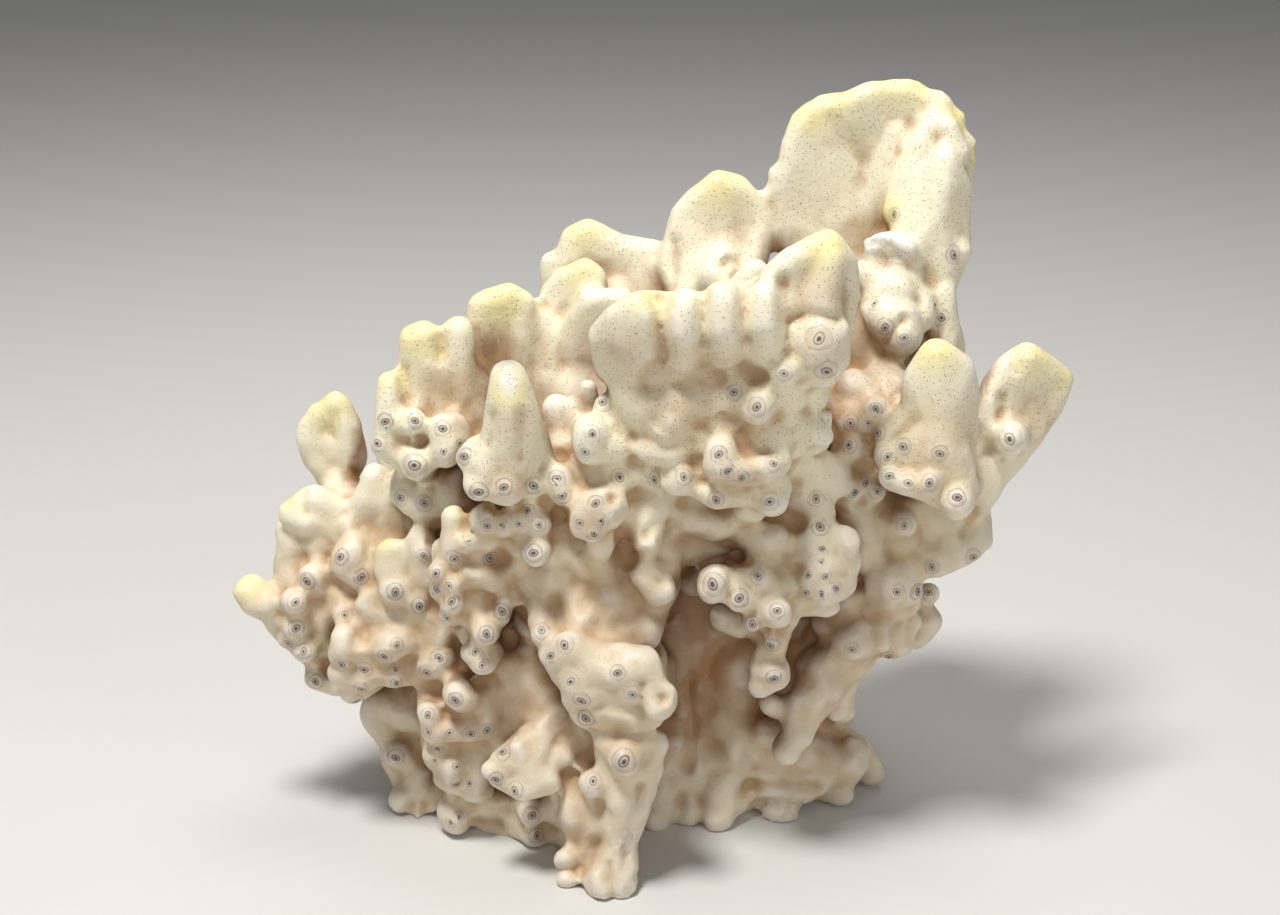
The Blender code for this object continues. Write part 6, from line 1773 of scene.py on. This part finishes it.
@dataclass
class Colony:
    """The coral itself: its skin, and what the skin's points tell its finish."""

    quality: Quality
    finish: CoralFinish = CoralFinish()

    def build(self) -> None:
        """Grows the skin, sets the barnacles in it and dresses it."""
        grower = Grower(FORKS, self.quality.value)
        skin = grower.grow()
        log.info("skin has %d faces", len(skin.mesh.polygons))
        self._roughen(skin)
        bed = BarnacleBed(skin)
        bed.settle_front(BARNACLES)
        bed.settle_back(count=150, apart=6.2)
        log.info("%d barnacles", len(bed.barnacles))
        bed.raise_reliefs()
        skin.thin(MOST_TRIANGLES)
        low, high = (np.array(corner) / MM for corner in solid_box)
        skin.hold(low + (HAIR, HAIR, 0.0), high - HAIR)
        self._dress(skin, self._values(skin, bed))

    def _roughen(self, skin: Skin) -> None:
        """Lays soft unevenness over the whole skin, and crumbles the broken spots."""
        places = column(skin.mesh)
        lumpy = eased((135.0 - places[:, 2]) / 60.0)
        lift = waves(places, 13.0, 4.0) * 0.8 + waves(places, 7.0, 6.0) * 1.1 * lumpy
        lift += waves(places, 3.8, 9.0) * (0.15 + 0.3 * lumpy)
        broken = patches(places, BROKEN)
        crumble = waves(places, 1.9, 17.0) * 0.8 + waves(places, 4.0, 27.0) * 0.9
        skin.swell(lift + broken * crumble - 0.1)

    def _values(self, skin: Skin, bed: BarnacleBed) -> dict[str, Array]:
        """Works out what each point of the skin tells its finish.

        Args:
            skin: the finished skin.
            bed: the barnacles in it.

        Returns:
            The points' values by the name that the finish reads them by.
        """
        places = column(skin.mesh)
        normals = column(skin.mesh, normals=True)
        near, far = Openness(skin).measure()
        distance, offset, owner = bed.measure()
        tones = np.array([barnacle.tone for barnacle in bed.barnacles] + [0.0])
        height = eased((places[:, 2] - 88.0) / 30.0)
        upper = height * eased(1.0 - far * 1.1)
        return {
            # Painted shade: how closed in each point is, from the rays that meet the skin
            "hollow_shade": eased((near - 0.12) / 0.75) * 0.7 + eased((far - 0.32) / 0.5) * 0.55,
            # Painted shade and highlight: how far each point stands out of the skin around it
            "relief": skin.relief(10),
            # Painted shade: strength of the shaded patches
            "shaded": patches(places, SHADED),
            "white": patches(places, WHITE),
            # Painted shade: how much of the far surroundings is blocked, which darkens deep hollows and
            # their rust
            "deep": far,
            # Painted shade: how strongly each point takes the darker tint, stronger towards the bottom
            "low": eased((104.0 - places[:, 2] - 0.25 * places[:, 1]) / 50.0),
            "tip": patches(places, YELLOW_TIPS) * eased(1.1 - near * 1.5),
            # Rust stain, partly painted shade: only where the far surroundings are closed in
            "rust_and_shade": patches(places, RUST_AND_SHADE) * eased((far - 0.3) / 0.4),
            "green": patches(places, GREENISH),
            "grey": patches(places, GREYED),
            "broken": patches(places, BROKEN),
            "pores": np.clip(upper + 0.22 + 0.1 * normals[:, 2], 0.0, 1.0),
            "ring_near": np.minimum(1.0 - np.clip(distance - 1.0, 0.0, 1.0), 1.0 - 0.6 * bed.seams(owner)),
            "ring_tone": tones[owner],
            "ring_offset": offset,
        }

    def _dress(self, skin: Skin, values: dict[str, Array]) -> None:
        """Gives the skin its finish and puts it in the solids' place.

        Args:
            skin: the finished skin.
            values: what its points tell the finish.
        """
        mesh = skin.mesh
        for label, rows in values.items():
            vector = rows.ndim > 1
            layer = mesh.attributes.new(label, "FLOAT_VECTOR" if vector else "FLOAT", "POINT")
            layer.data.foreach_set("vector" if vector else "value", rows.astype(np.float32).ravel())
        mesh.transform(Matrix.Scale(MM, 4))
        mesh.shade_smooth()
        mesh.materials.append(self.finish.material("coral_limestone"))
        skin.obj.name = "coral_skin"
        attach(skin.obj, "root")
        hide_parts(*FORKS)


@dataclass(frozen=True)
class Lamp:
    """A soft studio light, with its place and size in metres."""

    name: str
    place: tuple[float, float, float]
    size: float
    power: float
    colour: tuple[float, float, float] = (1.0, 0.98, 0.95)

    def build(self) -> None:
        """Hangs the light so that it shines on the colony."""
        light = bpy.data.lights.new(self.name, "AREA")
        light.shape = "DISK"
        light.size = self.size
        light.energy = self.power
        light.color = self.colour
        obj = bpy.data.objects.new(self.name, light)
        obj.location = self.place
        toward = SIGHT.aim * MM - Vector(self.place)
        obj.rotation_euler = toward.to_track_quat("-Z", "Y").to_euler()
        bpy.context.scene.collection.objects.link(obj)


@dataclass
class Studio:
    """The pale floor, the soft light and the camera."""

    lamps: tuple[Lamp, ...] = (
        Lamp("key", (-0.25, -0.25, 1.1), 0.25, 12.6),
        Lamp("top", (0.15, 0.2, 1.0), 0.5, 2.5),
        Lamp("fill", (0.8, -0.7, 0.6), 0.5, 1.7),
        Lamp("front", (0.0, -1.3, 0.6), 0.3, 2.8),
    )
    floor_tint: Tint = Tint(0.62, 0.61, 0.59)
    floor_reach: float = 6.0
    air_tint: Tint = Tint(0.92, 0.95, 1.0)
    air_strength: float = 0.15

    def build(self) -> None:
        """Sets the whole studio up."""
        self._floor()
        self._world()
        self._camera()
        for lamp in self.lamps:
            lamp.build()

    def _floor(self) -> None:
        """Lays the floor of plain paper."""
        form = bmesh.new()
        bmesh.ops.create_grid(form, x_segments=1, y_segments=1, size=self.floor_reach)
        mesh = bpy.data.meshes.new("floor")
        form.to_mesh(mesh)
        form.free()
        floor = bpy.data.objects.new("floor", mesh)
        bpy.context.scene.collection.objects.link(floor)
        material = bpy.data.materials.new("floor_paper")
        graph = Graph(material)
        inputs = {"Base Color": self.floor_tint, "Roughness": 0.85}
        shader = graph.node("ShaderNodeBsdfPrincipled", inputs=inputs)
        graph.node("ShaderNodeOutputMaterial", inputs={"Surface": Wire(graph, shader.outputs[0])})
        mesh.materials.append(material)

    def _world(self) -> None:
        """Fills the studio with a little even light."""
        world = bpy.data.worlds.new("studio_air")
        world.use_nodes = True
        background = world.node_tree.nodes["Background"]
        background.inputs["Color"].default_value = self.air_tint.rgba()
        background.inputs["Strength"].default_value = self.air_strength
        bpy.context.scene.world = world

    def _camera(self) -> None:
        """Stands the camera at the photograph's eye."""
        camera = bpy.data.cameras.new("camera")
        camera.sensor_width = 36.0
        camera.lens = camera.sensor_width * SIGHT.length / SIGHT.picture_width
        camera.clip_start = 0.01
        obj = bpy.data.objects.new("camera", camera)
        obj.location = SIGHT.eye * MM
        obj.rotation_euler = SIGHT.forward.to_track_quat("-Z", "Y").to_euler()
        bpy.context.scene.collection.objects.link(obj)
        bpy.context.scene.camera = obj


def main() -> None:
    """Builds the colony and its studio."""
    logging.basicConfig(level=logging.INFO, format="%(name)s: %(message)s")
    Colony(Quality.FULL).build()
    log.info("colony built")
    Studio().build()
    bpy.context.scene.view_settings.view_transform = "Standard"


if __name__ == "__main__":
    main()
